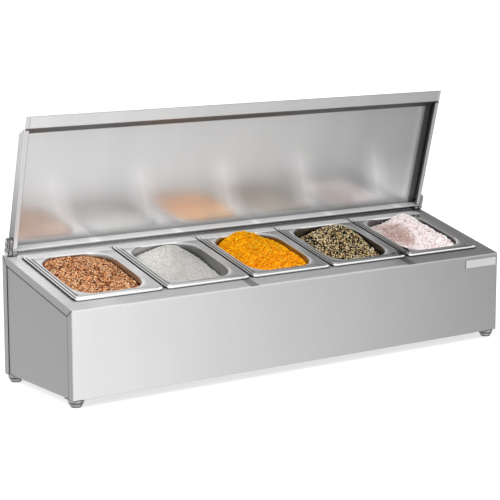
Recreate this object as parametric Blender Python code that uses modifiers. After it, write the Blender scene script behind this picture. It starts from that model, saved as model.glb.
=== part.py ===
"""Countertop spice rack: a folded steel housing with a sloped deck, five drop-in pans
filled with spices, and one long hinged lid.  Metres, +Z up, front towards -Y."""
import math

import bmesh
import bpy
from mathutils import Matrix, Vector

# Housing, folded from one sheet
LENGTH = 0.860
DEPTH = 0.2156
FRONT_HEIGHT = 0.1382
BACK_HEIGHT = 0.1928
SHEET = 0.001
TOP_BEND_RADIUS = 0.003
BASE_BEND_RADIUS = 0.002
BASE_RETURN = 0.026
SIDE_TAB_WIDTH = 0.012
MITRE_SLIT = 0.0004
MITRE_SLIT_START = 0.0035

# Clearances; a folded-over edge stands one step back from the edge that it joins
SEAT_GAP = 0.0003
CUT_OVERRUN = 0.004
FOLD_STEP = 0.0001

# Pans, sixth-size gastronorm: the margins leave 162 by 176 mm, and the depth is 100 mm
PAN_COUNT = 5
PAN_END_MARGIN = 0.020
PAN_FRONT_MARGIN = 0.0275
PAN_BACK_MARGIN = 0.0189
PAN_SIDE_GAP = 0.002
PAN_BODY_DEPTH = 0.100
PAN_SHEET = 0.0008
PAN_RIM_HEIGHT = 0.0026
PAN_RIM_CORNER_RADIUS = 0.010
PAN_RIM_WIDTH = 0.017
PAN_MOUTH_CORNER_RADIUS = 0.038
PAN_MOUTH_ROUND = 0.0018
PAN_WALL_TAPER = 0.006
PAN_FLOOR_CORNER_RADIUS = 0.030
PAN_FLOOR_ROUND = 0.010
PAN_HOLE_CLEARANCE = 0.0025

# Lid, folded from one sheet; heights run up the open lid from its pivot axis
LID_END_MARGIN = 0.010
LID_FRONT_MARGIN = 0.0038
LID_DEPTH = 0.0172
LID_WALL_HEIGHT = 0.0142
LID_LIP_WIDTH = 0.0190
LID_BEND_RADIUS = 0.002
LID_HEM_WIDTH = 0.0075
LID_HEM_END_GAP = 0.004
LID_REST_GAP = 0.0005
LID_OPEN_FURTHER_DEG = 20.0

# Hinges
PIVOT_FROM_BACK_EDGE = 0.0104
PIVOT_HEIGHT = 0.0050
BARREL_RADIUS = 0.0040
BARREL_LENGTH = 0.0090
BARREL_FOOT_LENGTH = 0.0060
BARREL_RUNNING_GAP = 0.0006
PIVOT_BOLT_RADIUS = 0.0020
PIVOT_BOLT_HEAD_RADIUS = 0.0034
PIVOT_BOLT_HEAD_HEIGHT = 0.0017
PIVOT_RUNNING_CLEARANCE = 0.0002
ARM_THICKNESS = 0.0065
ARM_LENGTH = 0.0240
ARM_BACK_REACH = 0.0105
ARM_TOP_RADIUS = 0.0050
ARM_END_RADIUS = 0.0044
ARM_HEEL_SPARE_DEG = 2.0
ARM_SCREW_HEIGHTS = (0.0095, 0.0190)
ARM_SCREW_SET_BACK = 0.0045
ARM_SCREW_RADIUS = 0.0015
ARM_SCREW_HEAD_RADIUS = 0.0027
ARM_SCREW_HEAD_HEIGHT = 0.0014
ARM_NUT_RADIUS = 0.0031
ARM_NUT_HEIGHT = 0.0022

# Feet
FOOT_HEIGHT = 0.0120
FOOT_TOP_RADIUS = 0.0125
FOOT_BOTTOM_RADIUS = 0.0086
FOOT_BAND_HEIGHT = 0.0035
FOOT_EDGE_ROUND = 0.0008
FOOT_RECESS_RADIUS = 0.0055
FOOT_RECESS_DEPTH = 0.0045
FOOT_SCREW_RADIUS = 0.0025
FOOT_SCREW_HEAD_RADIUS = 0.0048
FOOT_SCREW_HEAD_HEIGHT = 0.0030
FOOT_NUT_RADIUS = 0.0046
FOOT_NUT_HEIGHT = 0.0040
SCREW_END_SPARE = 0.0015

# Blank plate on the front
BADGE_WIDTH = 0.0710
BADGE_HEIGHT = 0.0155
BADGE_THICKNESS = 0.0008
BADGE_CORNER_RADIUS = 0.0020
BADGE_FROM_RIGHT = 0.0035
BADGE_FROM_TOP = 0.0060

# Spice heaps: heights are from the deck plane, places are shares of the mouth's half sizes
SPICE_CLEARANCE = 0.0004
SPICE_FLOOR_GAP = 0.0004
HEAPS = (
    {"edge": -0.0034, "front_drop": 0.0030, "right_rise": -0.0030, "peak": 0.0045,
     "place_shares": (0.00, 0.35), "spread_shares": (0.60, 0.90), "clump": 0.0005},
    {"edge": -0.0143, "front_drop": 0.0030, "right_rise": -0.0021, "peak": 0.0090,
     "place_shares": (0.21, 0.77), "spread_shares": (0.62, 0.74), "clump": 0.0},
    {"edge": -0.0095, "front_drop": 0.0020, "right_rise": 0.0045, "peak": 0.0190,
     "place_shares": (-0.08, 0.90), "spread_shares": (0.62, 0.50), "clump": 0.0010},
    {"edge": -0.0130, "front_drop": 0.0060, "right_rise": 0.0054, "peak": 0.0110,
     "place_shares": (0.36, 0.51), "spread_shares": (0.67, 0.72), "clump": 0.0006},
    {"edge": -0.0085, "front_drop": 0.0010, "right_rise": 0.0044, "peak": 0.0135,
     "place_shares": (0.34, 0.62), "spread_shares": (0.38, 0.90), "clump": 0.0006},
)
HEAP_BORDER_FALL_SHARE = 0.5
CLUMP_WAVES = 3.5

# Facets
CORNER_STEPS = 5
BEND_STEPS = 4
ROUND_STEPS = 24
SMALL_ROUND_STEPS = 16
NUT_SIDES = 6
HEAP_RINGS = 6
HEAP_SIDE_STEPS = 4
SMOOTH_ANGLE_DEG = 32.0

# Derived places
SLOPE = math.atan2(BACK_HEIGHT - FRONT_HEIGHT, DEPTH)
DECK_LENGTH = math.hypot(BACK_HEIGHT - FRONT_HEIGHT, DEPTH)
HALF_LENGTH = LENGTH / 2
PAN_PITCH = (LENGTH - 2 * PAN_END_MARGIN) / PAN_COUNT
PAN_WIDTH = PAN_PITCH - PAN_SIDE_GAP
PAN_LENGTH = DECK_LENGTH - PAN_FRONT_MARGIN - PAN_BACK_MARGIN
LID_WIDTH = LENGTH - 2 * LID_END_MARGIN
HALF_LID = LID_WIDTH / 2
PIVOT_FROM_FRONT_EDGE = DECK_LENGTH - PIVOT_FROM_BACK_EDGE
LID_PANEL_HEIGHT = PIVOT_FROM_FRONT_EDGE - LID_FRONT_MARGIN - LID_WALL_HEIGHT
BADGE_STAND = SEAT_GAP + BADGE_THICKNESS
FRONT_Y = BADGE_STAND - (DEPTH + BADGE_STAND) / 2
BASE_Z = FOOT_HEIGHT
FOOT_INSET = FOOT_TOP_RADIUS
LID_BACK = LID_DEPTH + LID_REST_GAP - PIVOT_HEIGHT
LID_FREE_EDGE = LID_REST_GAP - PIVOT_HEIGHT
LID_FOOT = BARREL_RADIUS + BARREL_RUNNING_GAP
SIDES = (("left", -1), ("right", 1))

PROFILE_ROTATION = (math.pi / 2, 0.0, math.pi / 2)

MATERIALS = {
    "housing_steel": ((0.62, 0.63, 0.64), 0.32, 1.0),
    "side_steel": ((0.55, 0.56, 0.57), 0.34, 1.0),
    "lid_steel": ((0.60, 0.61, 0.61), 0.30, 1.0),
    "pan_steel": ((0.66, 0.66, 0.67), 0.22, 1.0),
    "hinge_steel": ((0.36, 0.37, 0.38), 0.38, 1.0),
    "fastener_steel": ((0.52, 0.53, 0.54), 0.30, 1.0),
    "badge_plate": ((0.80, 0.80, 0.81), 0.35, 0.9),
    "foot_rubber": ((0.11, 0.11, 0.12), 0.60, 0.0),
    "chilli": ((0.38, 0.10, 0.04), 0.85, 0.0),
    "white_salt": ((0.88, 0.88, 0.87), 0.80, 0.0),
    "turmeric": ((0.85, 0.38, 0.02), 0.90, 0.0),
    "pepper_mix": ((0.33, 0.27, 0.17), 0.85, 0.0),
    "pink_salt": ((0.86, 0.72, 0.69), 0.75, 0.0),
}
SPICE_SLOTS = ("chilli", "white_salt", "turmeric", "pepper_mix", "pink_salt")


# Scene and objects


def clear_scene():
    for item in list(bpy.data.objects):
        bpy.data.objects.remove(item, do_unlink=True)


def new_collection(name):
    collection = bpy.data.collections.new(name)
    bpy.context.scene.collection.children.link(collection)
    return collection


def make_materials():
    made = {}
    for name, (colour, roughness, metallic) in MATERIALS.items():
        material = bpy.data.materials.new(name)
        material.use_nodes = True
        shader = material.node_tree.nodes["Principled BSDF"]
        shader.inputs["Base Color"].default_value = (*colour, 1.0)
        shader.inputs["Roughness"].default_value = roughness
        shader.inputs["Metallic"].default_value = metallic
        material.diffuse_color = (*colour, 1.0)
        made[name] = material
    return made


def add_object(name, mesh, material=None, parent=None, location=(0, 0, 0), rotation=(0, 0, 0)):
    item = bpy.data.objects.new(name, mesh)
    PARTS.objects.link(item)
    item.parent = parent
    item.location = location
    item.rotation_euler = rotation
    if material:
        item.data.materials.append(MADE_MATERIALS[material])
    return item


def add_empty(name, location, rotation=(0, 0, 0), parent=None):
    empty = bpy.data.objects.new(name, None)
    PARTS.objects.link(empty)
    empty.empty_display_size = PIVOT_HEIGHT
    empty.parent = parent
    empty.location = location
    empty.rotation_euler = rotation
    return empty


def make_cutter(item):
    PARTS.objects.unlink(item)
    CUTTERS.objects.link(item)
    item.hide_render = True
    item.display_type = "WIRE"
    return item


def add_boolean(item, other, operation):
    modifier = item.modifiers.new(f"{operation.lower()}_{other.name}", "BOOLEAN")
    modifier.operation = operation
    modifier.solver = "EXACT"
    modifier.object = make_cutter(other)
    tidy = item.modifiers.new(f"weld_{other.name}", "WELD")
    tidy.merge_threshold = SEAT_GAP / 100


def gathered(name, items):
    """One object that holds the meshes of several, placed where they are."""
    bpy.context.view_layer.update()
    shape = bmesh.new()
    for item in items:
        placed = item.data.copy()
        placed.transform(item.matrix_world)
        shape.from_mesh(placed)
        bpy.data.meshes.remove(placed)
        bpy.data.objects.remove(item, do_unlink=True)
    mesh = bpy.data.meshes.new(name)
    shape.to_mesh(mesh)
    shape.free()
    return add_object(name, mesh)


def shade_round(mesh):
    mesh.shade_smooth()
    mesh.set_sharp_from_angle(angle=math.radians(SMOOTH_ANGLE_DEG))


# Outlines


def offset_path(points, distance):
    """Open path moved to its left side by a distance, corners kept sharp."""
    lines = []
    for start, end in zip(points, points[1:]):
        along = (Vector(end) - Vector(start)).normalized()
        normal = Vector((-along.y, along.x))
        lines.append((Vector(start) + normal * distance, along))
    moved = [lines[0][0]]
    for (here, along), (there, beyond) in zip(lines, lines[1:]):
        cross = along.x * beyond.y - along.y * beyond.x
        gap = there - here
        moved.append(here + along * ((gap.x * beyond.y - gap.y * beyond.x) / cross))
    last_normal = Vector((-lines[-1][1].y, lines[-1][1].x))
    moved.append(Vector(points[-1]) + last_normal * distance)
    return moved


def round_path(points, radii, steps=BEND_STEPS):
    """Open path with an arc of the given radius at each inner corner."""
    rounded = [Vector(points[0])]
    for before, corner, after, radius in zip(points, points[1:], points[2:], radii):
        corner = Vector(corner)
        back = (Vector(before) - corner).normalized()
        ahead = (Vector(after) - corner).normalized()
        half_angle = back.angle(ahead) / 2
        if radius <= 0:
            rounded.append(corner)
            continue
        centre = corner + (back + ahead).normalized() * (radius / math.sin(half_angle))
        first = corner + back * (radius / math.tan(half_angle)) - centre
        last = corner + ahead * (radius / math.tan(half_angle)) - centre
        turn = first.angle_signed(last)
        for step in range(steps + 1):
            rounded.append(centre + Matrix.Rotation(-turn * step / steps, 2) @ first)
    rounded.append(Vector(points[-1]))
    return rounded


def sheet_outline(points, radii, turns, thickness):
    """Closed outline of a folded sheet whose outer face follows the path."""
    outer = round_path(points, radii)
    inner_radii = [radius - turn * thickness for radius, turn in zip(radii, turns)]
    inner = round_path(offset_path(points, thickness), inner_radii)
    return outer + inner[::-1]


def rounded_rectangle(half_x, half_y, radius, side_steps=1):
    """Closed outline from the back right corner on, with each straight side split in steps."""
    points = []
    for quarter, (sign_x, sign_y) in enumerate(((1, 1), (-1, 1), (-1, -1), (1, -1))):
        centre = Vector((sign_x * (half_x - radius), sign_y * (half_y - radius)))
        for step in range(CORNER_STEPS + 1):
            angle = (quarter + step / CORNER_STEPS) * math.pi / 2
            points.append(centre + radius * Vector((math.cos(angle), math.sin(angle))))
        across = (half_x if quarter % 2 == 0 else half_y) - radius
        turn = quarter * math.pi / 2
        back = 2 * across * Vector((-math.cos(turn), -math.sin(turn)))
        for step in range(1, side_steps):
            points.append(points[-step] + back * step / side_steps)
    return points


# Solids


def flat_solid(name, outline, thickness, **place):
    """Flat outline with a thickness, centred on its own plane."""
    curve = bpy.data.curves.new(name, "CURVE")
    curve.dimensions = "2D"
    curve.fill_mode = "BOTH"
    curve.extrude = thickness / 2
    spline = curve.splines.new("POLY")
    spline.points.add(len(outline) - 1)
    for point, (across, up) in zip(spline.points, outline):
        point.co = (across, up, 0.0, 1.0)
    spline.use_cyclic_u = True
    guide = bpy.data.objects.new(name + "_outline", curve)
    PARTS.objects.link(guide)
    bpy.context.view_layer.update()
    graph = bpy.context.evaluated_depsgraph_get()
    mesh = bpy.data.meshes.new_from_object(guide.evaluated_get(graph))
    bpy.data.objects.remove(guide, do_unlink=True)
    mesh.name = name
    weld(mesh)
    return add_object(name, mesh, **place)


def weld(mesh):
    shape = bmesh.new()
    shape.from_mesh(mesh)
    bmesh.ops.remove_doubles(shape, verts=shape.verts, dist=SEAT_GAP / 100)
    bmesh.ops.recalc_face_normals(shape, faces=shape.faces)
    shape.to_mesh(mesh)
    shape.free()


def block(name, low, high, **place):
    size = Vector(high) - Vector(low)
    shape = bmesh.new()
    bmesh.ops.create_cube(shape, size=1.0)
    bmesh.ops.scale(shape, vec=size, verts=shape.verts)
    bmesh.ops.translate(shape, vec=(Vector(high) + Vector(low)) / 2, verts=shape.verts)
    mesh = bpy.data.meshes.new(name)
    shape.to_mesh(mesh)
    shape.free()
    return add_object(name, mesh, **place)


def cylinder(name, radius, length, sides=SMALL_ROUND_STEPS, **place):
    shape = bmesh.new()
    bmesh.ops.create_cone(shape, cap_ends=True, segments=sides, radius1=radius,
                          radius2=radius, depth=length)
    mesh = bpy.data.meshes.new(name)
    shape.to_mesh(mesh)
    shape.free()
    shade_round(mesh)
    return add_object(name, mesh, **place)


def turned(name, profile, closed=False, steps=SMALL_ROUND_STEPS, **place):
    """Profile of (radius, height) points, outer side from top to bottom, spun about Z."""
    shape = bmesh.new()
    points = [shape.verts.new((radius, 0.0, height)) for radius, height in profile]
    for start, end in zip(points, points[1:]):
        shape.edges.new((start, end))
    if closed:
        shape.edges.new((points[-1], points[0]))
    mesh = bpy.data.meshes.new(name)
    shape.to_mesh(mesh)
    shape.free()
    item = add_object(name, mesh, **place)
    screw = item.modifiers.new("turned", "SCREW")
    screw.steps = steps
    screw.render_steps = steps
    screw.use_merge_vertices = True
    screw.merge_threshold = SEAT_GAP / 100
    screw.use_smooth_shade = True
    return item


def place_copies(template, places, **place):
    """Objects that share a template's finished mesh; the template is then removed."""
    bpy.context.view_layer.update()
    graph = bpy.context.evaluated_depsgraph_get()
    mesh = bpy.data.meshes.new_from_object(template.evaluated_get(graph))
    bpy.data.objects.remove(template, do_unlink=True)
    shade_round(mesh)
    mesh.materials.clear()
    mesh.materials.append(MADE_MATERIALS["fastener_steel"])
    for name, matrix in places:
        copy = add_object(name, mesh, **place)
        copy.matrix_local = matrix


def loft(shape, rings):
    """Bands of faces between rings of equal point counts; returns the rings' vertices."""
    made = [[shape.verts.new(point) for point in ring] for ring in rings]
    for lower, upper in zip(made, made[1:]):
        for index, start in enumerate(lower):
            following = (index + 1) % len(lower)
            shape.faces.new((start, lower[following], upper[following], upper[index]))
    return made


def ring_at(half_x, half_y, radius, height, side_steps=1):
    outline = rounded_rectangle(half_x, half_y, radius, side_steps)
    return [(point.x, point.y, height) for point in outline]


# Housing


def housing_corners():
    return [(0.0, 0.0), (0.0, FRONT_HEIGHT), (DEPTH, BACK_HEIGHT), (DEPTH, 0.0)]


def side_tab_outline():
    """Border of the side: out along the sheet's middle, back along the tabs' inner edge."""
    corners = housing_corners()[::-1]
    middle = round_path(offset_path(corners, SHEET / 2), [TOP_BEND_RADIUS - SHEET / 2] * 2)
    inner = offset_path(corners, SIDE_TAB_WIDTH)
    outline = middle + inner[::-1]
    for index in (0, len(middle) - 1, len(middle), -1):
        outline[index] = Vector((outline[index].x, SHEET / 2))
    return outline


def make_mitre_slit(name, corner, inner_corner, centre_x):
    """Thin cut from the bend to the tabs' inner corner."""
    along = Vector(inner_corner) - Vector(corner)
    reach = along.length + SHEET
    slit = block(name, (MITRE_SLIT_START, -MITRE_SLIT / 2, -SHEET), (reach, MITRE_SLIT / 2, SHEET),
                 location=(centre_x, FRONT_Y + corner[0], BASE_Z + corner[1]))
    angle = math.atan2(along.y, along.x)
    slit.rotation_euler = PROFILE_ROTATION
    slit.data.transform(Matrix.Rotation(angle, 4, "Z"))
    return slit


def make_housing():
    corners = housing_corners()
    path = [(BASE_RETURN, 0.0)] + corners + [(DEPTH - BASE_RETURN, 0.0)]
    radii = [BASE_BEND_RADIUS, TOP_BEND_RADIUS, TOP_BEND_RADIUS, BASE_BEND_RADIUS]
    outline = sheet_outline(path[::-1], radii, (1, 1, 1, 1), SHEET)
    origin = (0.0, FRONT_Y, BASE_Z)
    wrap = flat_solid("housing_wrap", outline, LENGTH, material="housing_steel",
                      location=origin, rotation=PROFILE_ROTATION)
    inner = offset_path(corners[::-1], SIDE_TAB_WIDTH)
    tabs, slits = [], []
    for side, sign in SIDES:
        centre_x = sign * (HALF_LENGTH - FOLD_STEP - SHEET / 2)
        tabs.append(flat_solid(f"side_tabs_{side}", side_tab_outline(), SHEET,
                               location=(centre_x, FRONT_Y, BASE_Z), rotation=PROFILE_ROTATION))
        slits.append(make_mitre_slit(f"slit_front_{side}", corners[1], inner[2], centre_x))
        slits.append(make_mitre_slit(f"slit_back_{side}", corners[2], inner[1], centre_x))
    hole_half_x = PAN_WIDTH / 2 - PAN_RIM_WIDTH + PAN_SHEET + PAN_HOLE_CLEARANCE
    hole_half_y = PAN_LENGTH / 2 - PAN_RIM_WIDTH + PAN_SHEET + PAN_HOLE_CLEARANCE
    hole_radius = PAN_MOUTH_CORNER_RADIUS + PAN_SHEET + PAN_HOLE_CLEARANCE
    hole_outline = rounded_rectangle(hole_half_x, hole_half_y, hole_radius)
    pan_holes = [flat_solid(f"pan_hole_{index + 1}", hole_outline, CUT_OVERRUN * 2,
                            parent=DECK, location=pan_place(index))
                 for index in range(PAN_COUNT)]
    foot_holes = [cylinder(f"hole_{name}", FOOT_SCREW_RADIUS + SEAT_GAP, CUT_OVERRUN * 2,
                           location=(x, y, BASE_Z))
                  for name, x, y in foot_places()]
    add_boolean(wrap, gathered("side_tabs", tabs), "UNION")
    add_boolean(wrap, gathered("mitre_slits", slits), "DIFFERENCE")
    add_boolean(wrap, gathered("pan_holes", pan_holes), "DIFFERENCE")
    add_boolean(wrap, gathered("foot_holes", foot_holes), "DIFFERENCE")
    return wrap


def make_side_panels():
    inset = SHEET + SEAT_GAP
    corners = housing_corners()[::-1]
    inner = offset_path(corners, inset)
    lowest = [Vector((inner[0].x, inset)), inner[1], inner[2], Vector((inner[3].x, inset))]
    outline = round_path(lowest, [TOP_BEND_RADIUS - inset] * 2)
    corner_cut = BASE_BEND_RADIUS - SHEET
    outline = ([Vector((inner[0].x - corner_cut, inset)), Vector((inner[0].x, inset + corner_cut))]
               + outline[1:-1]
               + [Vector((inner[3].x, inset + corner_cut)), Vector((inner[3].x + corner_cut, inset))])
    for side, sign in SIDES:
        centre_x = sign * (HALF_LENGTH - FOLD_STEP - SHEET - SEAT_GAP - SHEET / 2)
        flat_solid(f"side_panel_{side}", outline, SHEET, material="side_steel",
                   location=(centre_x, FRONT_Y, BASE_Z), rotation=PROFILE_ROTATION)


def make_badge():
    centre_x = HALF_LENGTH - BADGE_FROM_RIGHT - BADGE_WIDTH / 2
    centre_z = BASE_Z + FRONT_HEIGHT - BADGE_FROM_TOP - BADGE_HEIGHT / 2
    centre_y = FRONT_Y - SEAT_GAP - BADGE_THICKNESS / 2
    outline = rounded_rectangle(BADGE_WIDTH / 2, BADGE_HEIGHT / 2, BADGE_CORNER_RADIUS)
    flat_solid("badge_plate", outline, BADGE_THICKNESS, material="badge_plate",
               location=(centre_x, centre_y, centre_z), rotation=(math.pi / 2, 0.0, 0.0))


# Feet


def foot_places():
    x = HALF_LENGTH - FOOT_INSET
    near, far = FRONT_Y + FOOT_INSET, FRONT_Y + DEPTH - FOOT_INSET
    return (("foot_front_left", -x, near), ("foot_front_right", x, near),
            ("foot_back_left", -x, far), ("foot_back_right", x, far))


def make_feet():
    top = FOOT_HEIGHT - SEAT_GAP
    bore = FOOT_SCREW_RADIUS + SEAT_GAP
    profile = (
        (bore, top), (FOOT_TOP_RADIUS - FOOT_EDGE_ROUND, top),
        (FOOT_TOP_RADIUS, top - FOOT_EDGE_ROUND), (FOOT_TOP_RADIUS, top - FOOT_BAND_HEIGHT),
        (FOOT_BOTTOM_RADIUS, FOOT_EDGE_ROUND), (FOOT_BOTTOM_RADIUS - FOOT_EDGE_ROUND, 0.0),
        (FOOT_RECESS_RADIUS, 0.0), (FOOT_RECESS_RADIUS, FOOT_RECESS_DEPTH),
        (bore, FOOT_RECESS_DEPTH),
    )
    for name, x, y in foot_places():
        turned(name, profile, closed=True, steps=ROUND_STEPS, material="foot_rubber",
               location=(x, y, 0.0))
    head_top = FOOT_RECESS_DEPTH - SEAT_GAP
    nut_bottom = BASE_Z + SHEET + SEAT_GAP
    shank_top = nut_bottom + FOOT_NUT_HEIGHT + SCREW_END_SPARE
    screw = turned("foot_screw", ((0.0, shank_top), (FOOT_SCREW_RADIUS, shank_top),
                                  (FOOT_SCREW_RADIUS, head_top),
                                  (FOOT_SCREW_HEAD_RADIUS, head_top),
                                  (FOOT_SCREW_HEAD_RADIUS, head_top - FOOT_SCREW_HEAD_HEIGHT),
                                  (0.0, head_top - FOOT_SCREW_HEAD_HEIGHT)))
    place_copies(screw, [(name.replace("foot", "foot_screw", 1), Matrix.Translation((x, y, 0.0)))
                         for name, x, y in foot_places()])
    nut = make_nut("foot_nut", FOOT_NUT_RADIUS, FOOT_SCREW_RADIUS, FOOT_NUT_HEIGHT)
    nut_middle = nut_bottom + FOOT_NUT_HEIGHT / 2
    place_copies(nut, [(name.replace("foot", "foot_nut", 1), Matrix.Translation((x, y, nut_middle)))
                       for name, x, y in foot_places()])


def make_nut(name, radius, screw_radius, height):
    nut = cylinder(name, radius, height, sides=NUT_SIDES)
    bore = cylinder(name + "_bore", screw_radius + SEAT_GAP, height + CUT_OVERRUN)
    add_boolean(nut, bore, "DIFFERENCE")
    return nut


# Pans and spices, in the plane of the deck


def pan_place(index):
    x = (index - (PAN_COUNT - 1) / 2) * PAN_PITCH
    return (x, PAN_FRONT_MARGIN + PAN_LENGTH / 2, 0.0)


def pan_wall(height, inset=0.0):
    """Half sizes and corner radius of a pan's inner wall at a height."""
    share = min(1.0, max(0.0, (PAN_RIM_HEIGHT - height) / PAN_BODY_DEPTH))
    shrink = PAN_RIM_WIDTH + PAN_WALL_TAPER * share + inset
    loss = (PAN_MOUTH_CORNER_RADIUS - PAN_FLOOR_CORNER_RADIUS) * share + inset
    return (PAN_WIDTH / 2 - shrink, PAN_LENGTH / 2 - shrink, PAN_MOUTH_CORNER_RADIUS - loss)


def make_pan_mesh():
    half_x, half_y = PAN_WIDTH / 2, PAN_LENGTH / 2
    mouth_x, mouth_y, mouth_radius = pan_wall(PAN_RIM_HEIGHT)
    floor = PAN_RIM_HEIGHT - PAN_BODY_DEPTH + PAN_SHEET
    round_part = PAN_FLOOR_ROUND * (1 - math.sqrt(0.5))
    floor_wall = pan_wall(floor + PAN_FLOOR_ROUND)
    rings = [
        ring_at(half_x, half_y, PAN_RIM_CORNER_RADIUS, SEAT_GAP),
        ring_at(half_x, half_y, PAN_RIM_CORNER_RADIUS, PAN_RIM_HEIGHT - PAN_SHEET),
        ring_at(half_x - PAN_SHEET, half_y - PAN_SHEET, PAN_RIM_CORNER_RADIUS - PAN_SHEET,
                PAN_RIM_HEIGHT),
        ring_at(mouth_x + PAN_MOUTH_ROUND, mouth_y + PAN_MOUTH_ROUND,
                mouth_radius + PAN_MOUTH_ROUND, PAN_RIM_HEIGHT),
        ring_at(mouth_x, mouth_y, mouth_radius, PAN_RIM_HEIGHT - PAN_MOUTH_ROUND),
        ring_at(*floor_wall, floor + PAN_FLOOR_ROUND),
        ring_at(floor_wall[0] - round_part, floor_wall[1] - round_part,
                floor_wall[2] - round_part, floor + round_part),
        ring_at(floor_wall[0] - PAN_FLOOR_ROUND, floor_wall[1] - PAN_FLOOR_ROUND,
                floor_wall[2] - PAN_FLOOR_ROUND, floor),
    ]
    shape = bmesh.new()
    made = loft(shape, rings)
    shape.faces.new(made[-1])
    bmesh.ops.recalc_face_normals(shape, faces=shape.faces)
    if made[-1][0].link_faces[0].normal.z < 0:
        bmesh.ops.reverse_faces(shape, faces=shape.faces)
    mesh = bpy.data.meshes.new("pan")
    shape.to_mesh(mesh)
    shape.free()
    shade_round(mesh)
    return mesh


def make_pans():
    mesh = make_pan_mesh()
    mesh.materials.append(MADE_MATERIALS["pan_steel"])
    for index in range(PAN_COUNT):
        pan = add_object(f"pan_{index + 1}", mesh, parent=DECK, location=pan_place(index))
        shell = pan.modifiers.new("sheet", "SOLIDIFY")
        shell.thickness = PAN_SHEET
        shell.offset = -1.0
        shell.use_even_offset = True


def heap_height(heap, share_x, share_y):
    """Height of the spice above the deck plane at shares of the mouth's half sizes."""
    centre_x, centre_y = heap["place_shares"]
    spread_x, spread_y = heap["spread_shares"]
    away = ((share_x - centre_x) / spread_x) ** 2 + ((share_y - centre_y) / spread_y) ** 2
    border = min(1.0, share_x ** 4 + share_y ** 4) ** 1.5
    rise = (heap["peak"] - heap["edge"]) * (1 - HEAP_BORDER_FALL_SHARE * border)
    tilt = heap["right_rise"] * share_x - heap["front_drop"] * (1 - share_y) / 2
    clump = math.sin(CLUMP_WAVES * math.pi * share_x + 1) * math.cos(CLUMP_WAVES * math.pi * share_y)
    return heap["edge"] + tilt + rise * math.exp(-away) + heap["clump"] * clump


def heap_rings(heap):
    """Rings of the heap's top, from the pan's wall inwards."""
    mouth_x, mouth_y, mouth_radius = pan_wall(PAN_RIM_HEIGHT)
    border = []
    for index, point in enumerate(rounded_rectangle(mouth_x, mouth_y, mouth_radius, HEAP_SIDE_STEPS)):
        height = heap_height(heap, point.x / mouth_x, point.y / mouth_y)
        wall = pan_wall(height, SPICE_CLEARANCE)
        border.append(rounded_rectangle(*wall, HEAP_SIDE_STEPS)[index])
    rings = []
    for ring in range(HEAP_RINGS):
        points = [point * (1 - ring / HEAP_RINGS) for point in border]
        rings.append([(point.x, point.y, heap_height(heap, point.x / mouth_x, point.y / mouth_y))
                      for point in points])
    return rings


def make_spice(index, heap, slot):
    floor = PAN_RIM_HEIGHT - PAN_BODY_DEPTH + PAN_SHEET + SPICE_FLOOR_GAP
    start = floor + PAN_FLOOR_ROUND
    wall = pan_wall(start, SPICE_CLEARANCE)
    round_part = PAN_FLOOR_ROUND * (1 - math.sqrt(0.5))
    rings = []
    for inset, height in ((PAN_FLOOR_ROUND, floor), (round_part, floor + round_part), (0.0, start)):
        rings.append(ring_at(wall[0] - inset, wall[1] - inset, wall[2] - inset, height,
                             HEAP_SIDE_STEPS))
    shape = bmesh.new()
    made = loft(shape, rings + heap_rings(heap))
    shape.faces.new(made[0][::-1])
    top = shape.verts.new((0.0, 0.0, heap_height(heap, 0.0, 0.0)))
    last = made[-1]
    for position, start_vertex in enumerate(last):
        shape.faces.new((start_vertex, last[(position + 1) % len(last)], top))
    bmesh.ops.recalc_face_normals(shape, faces=shape.faces)
    name = f"spice_{index + 1}"
    mesh = bpy.data.meshes.new(name)
    shape.to_mesh(mesh)
    shape.free()
    shade_round(mesh)
    add_object(name, mesh, material=slot, parent=DECK, location=pan_place(index))


# Lid and hinges, about the pivot axis


def lid_path():
    foot_top = LID_PANEL_HEIGHT + LID_WALL_HEIGHT
    return [(LID_FREE_EDGE, LID_FOOT), (LID_BACK, LID_FOOT), (LID_BACK, LID_PANEL_HEIGHT),
            (LID_FREE_EDGE + SHEET, foot_top), (LID_FREE_EDGE + SHEET, foot_top + LID_LIP_WIDTH)]


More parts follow.
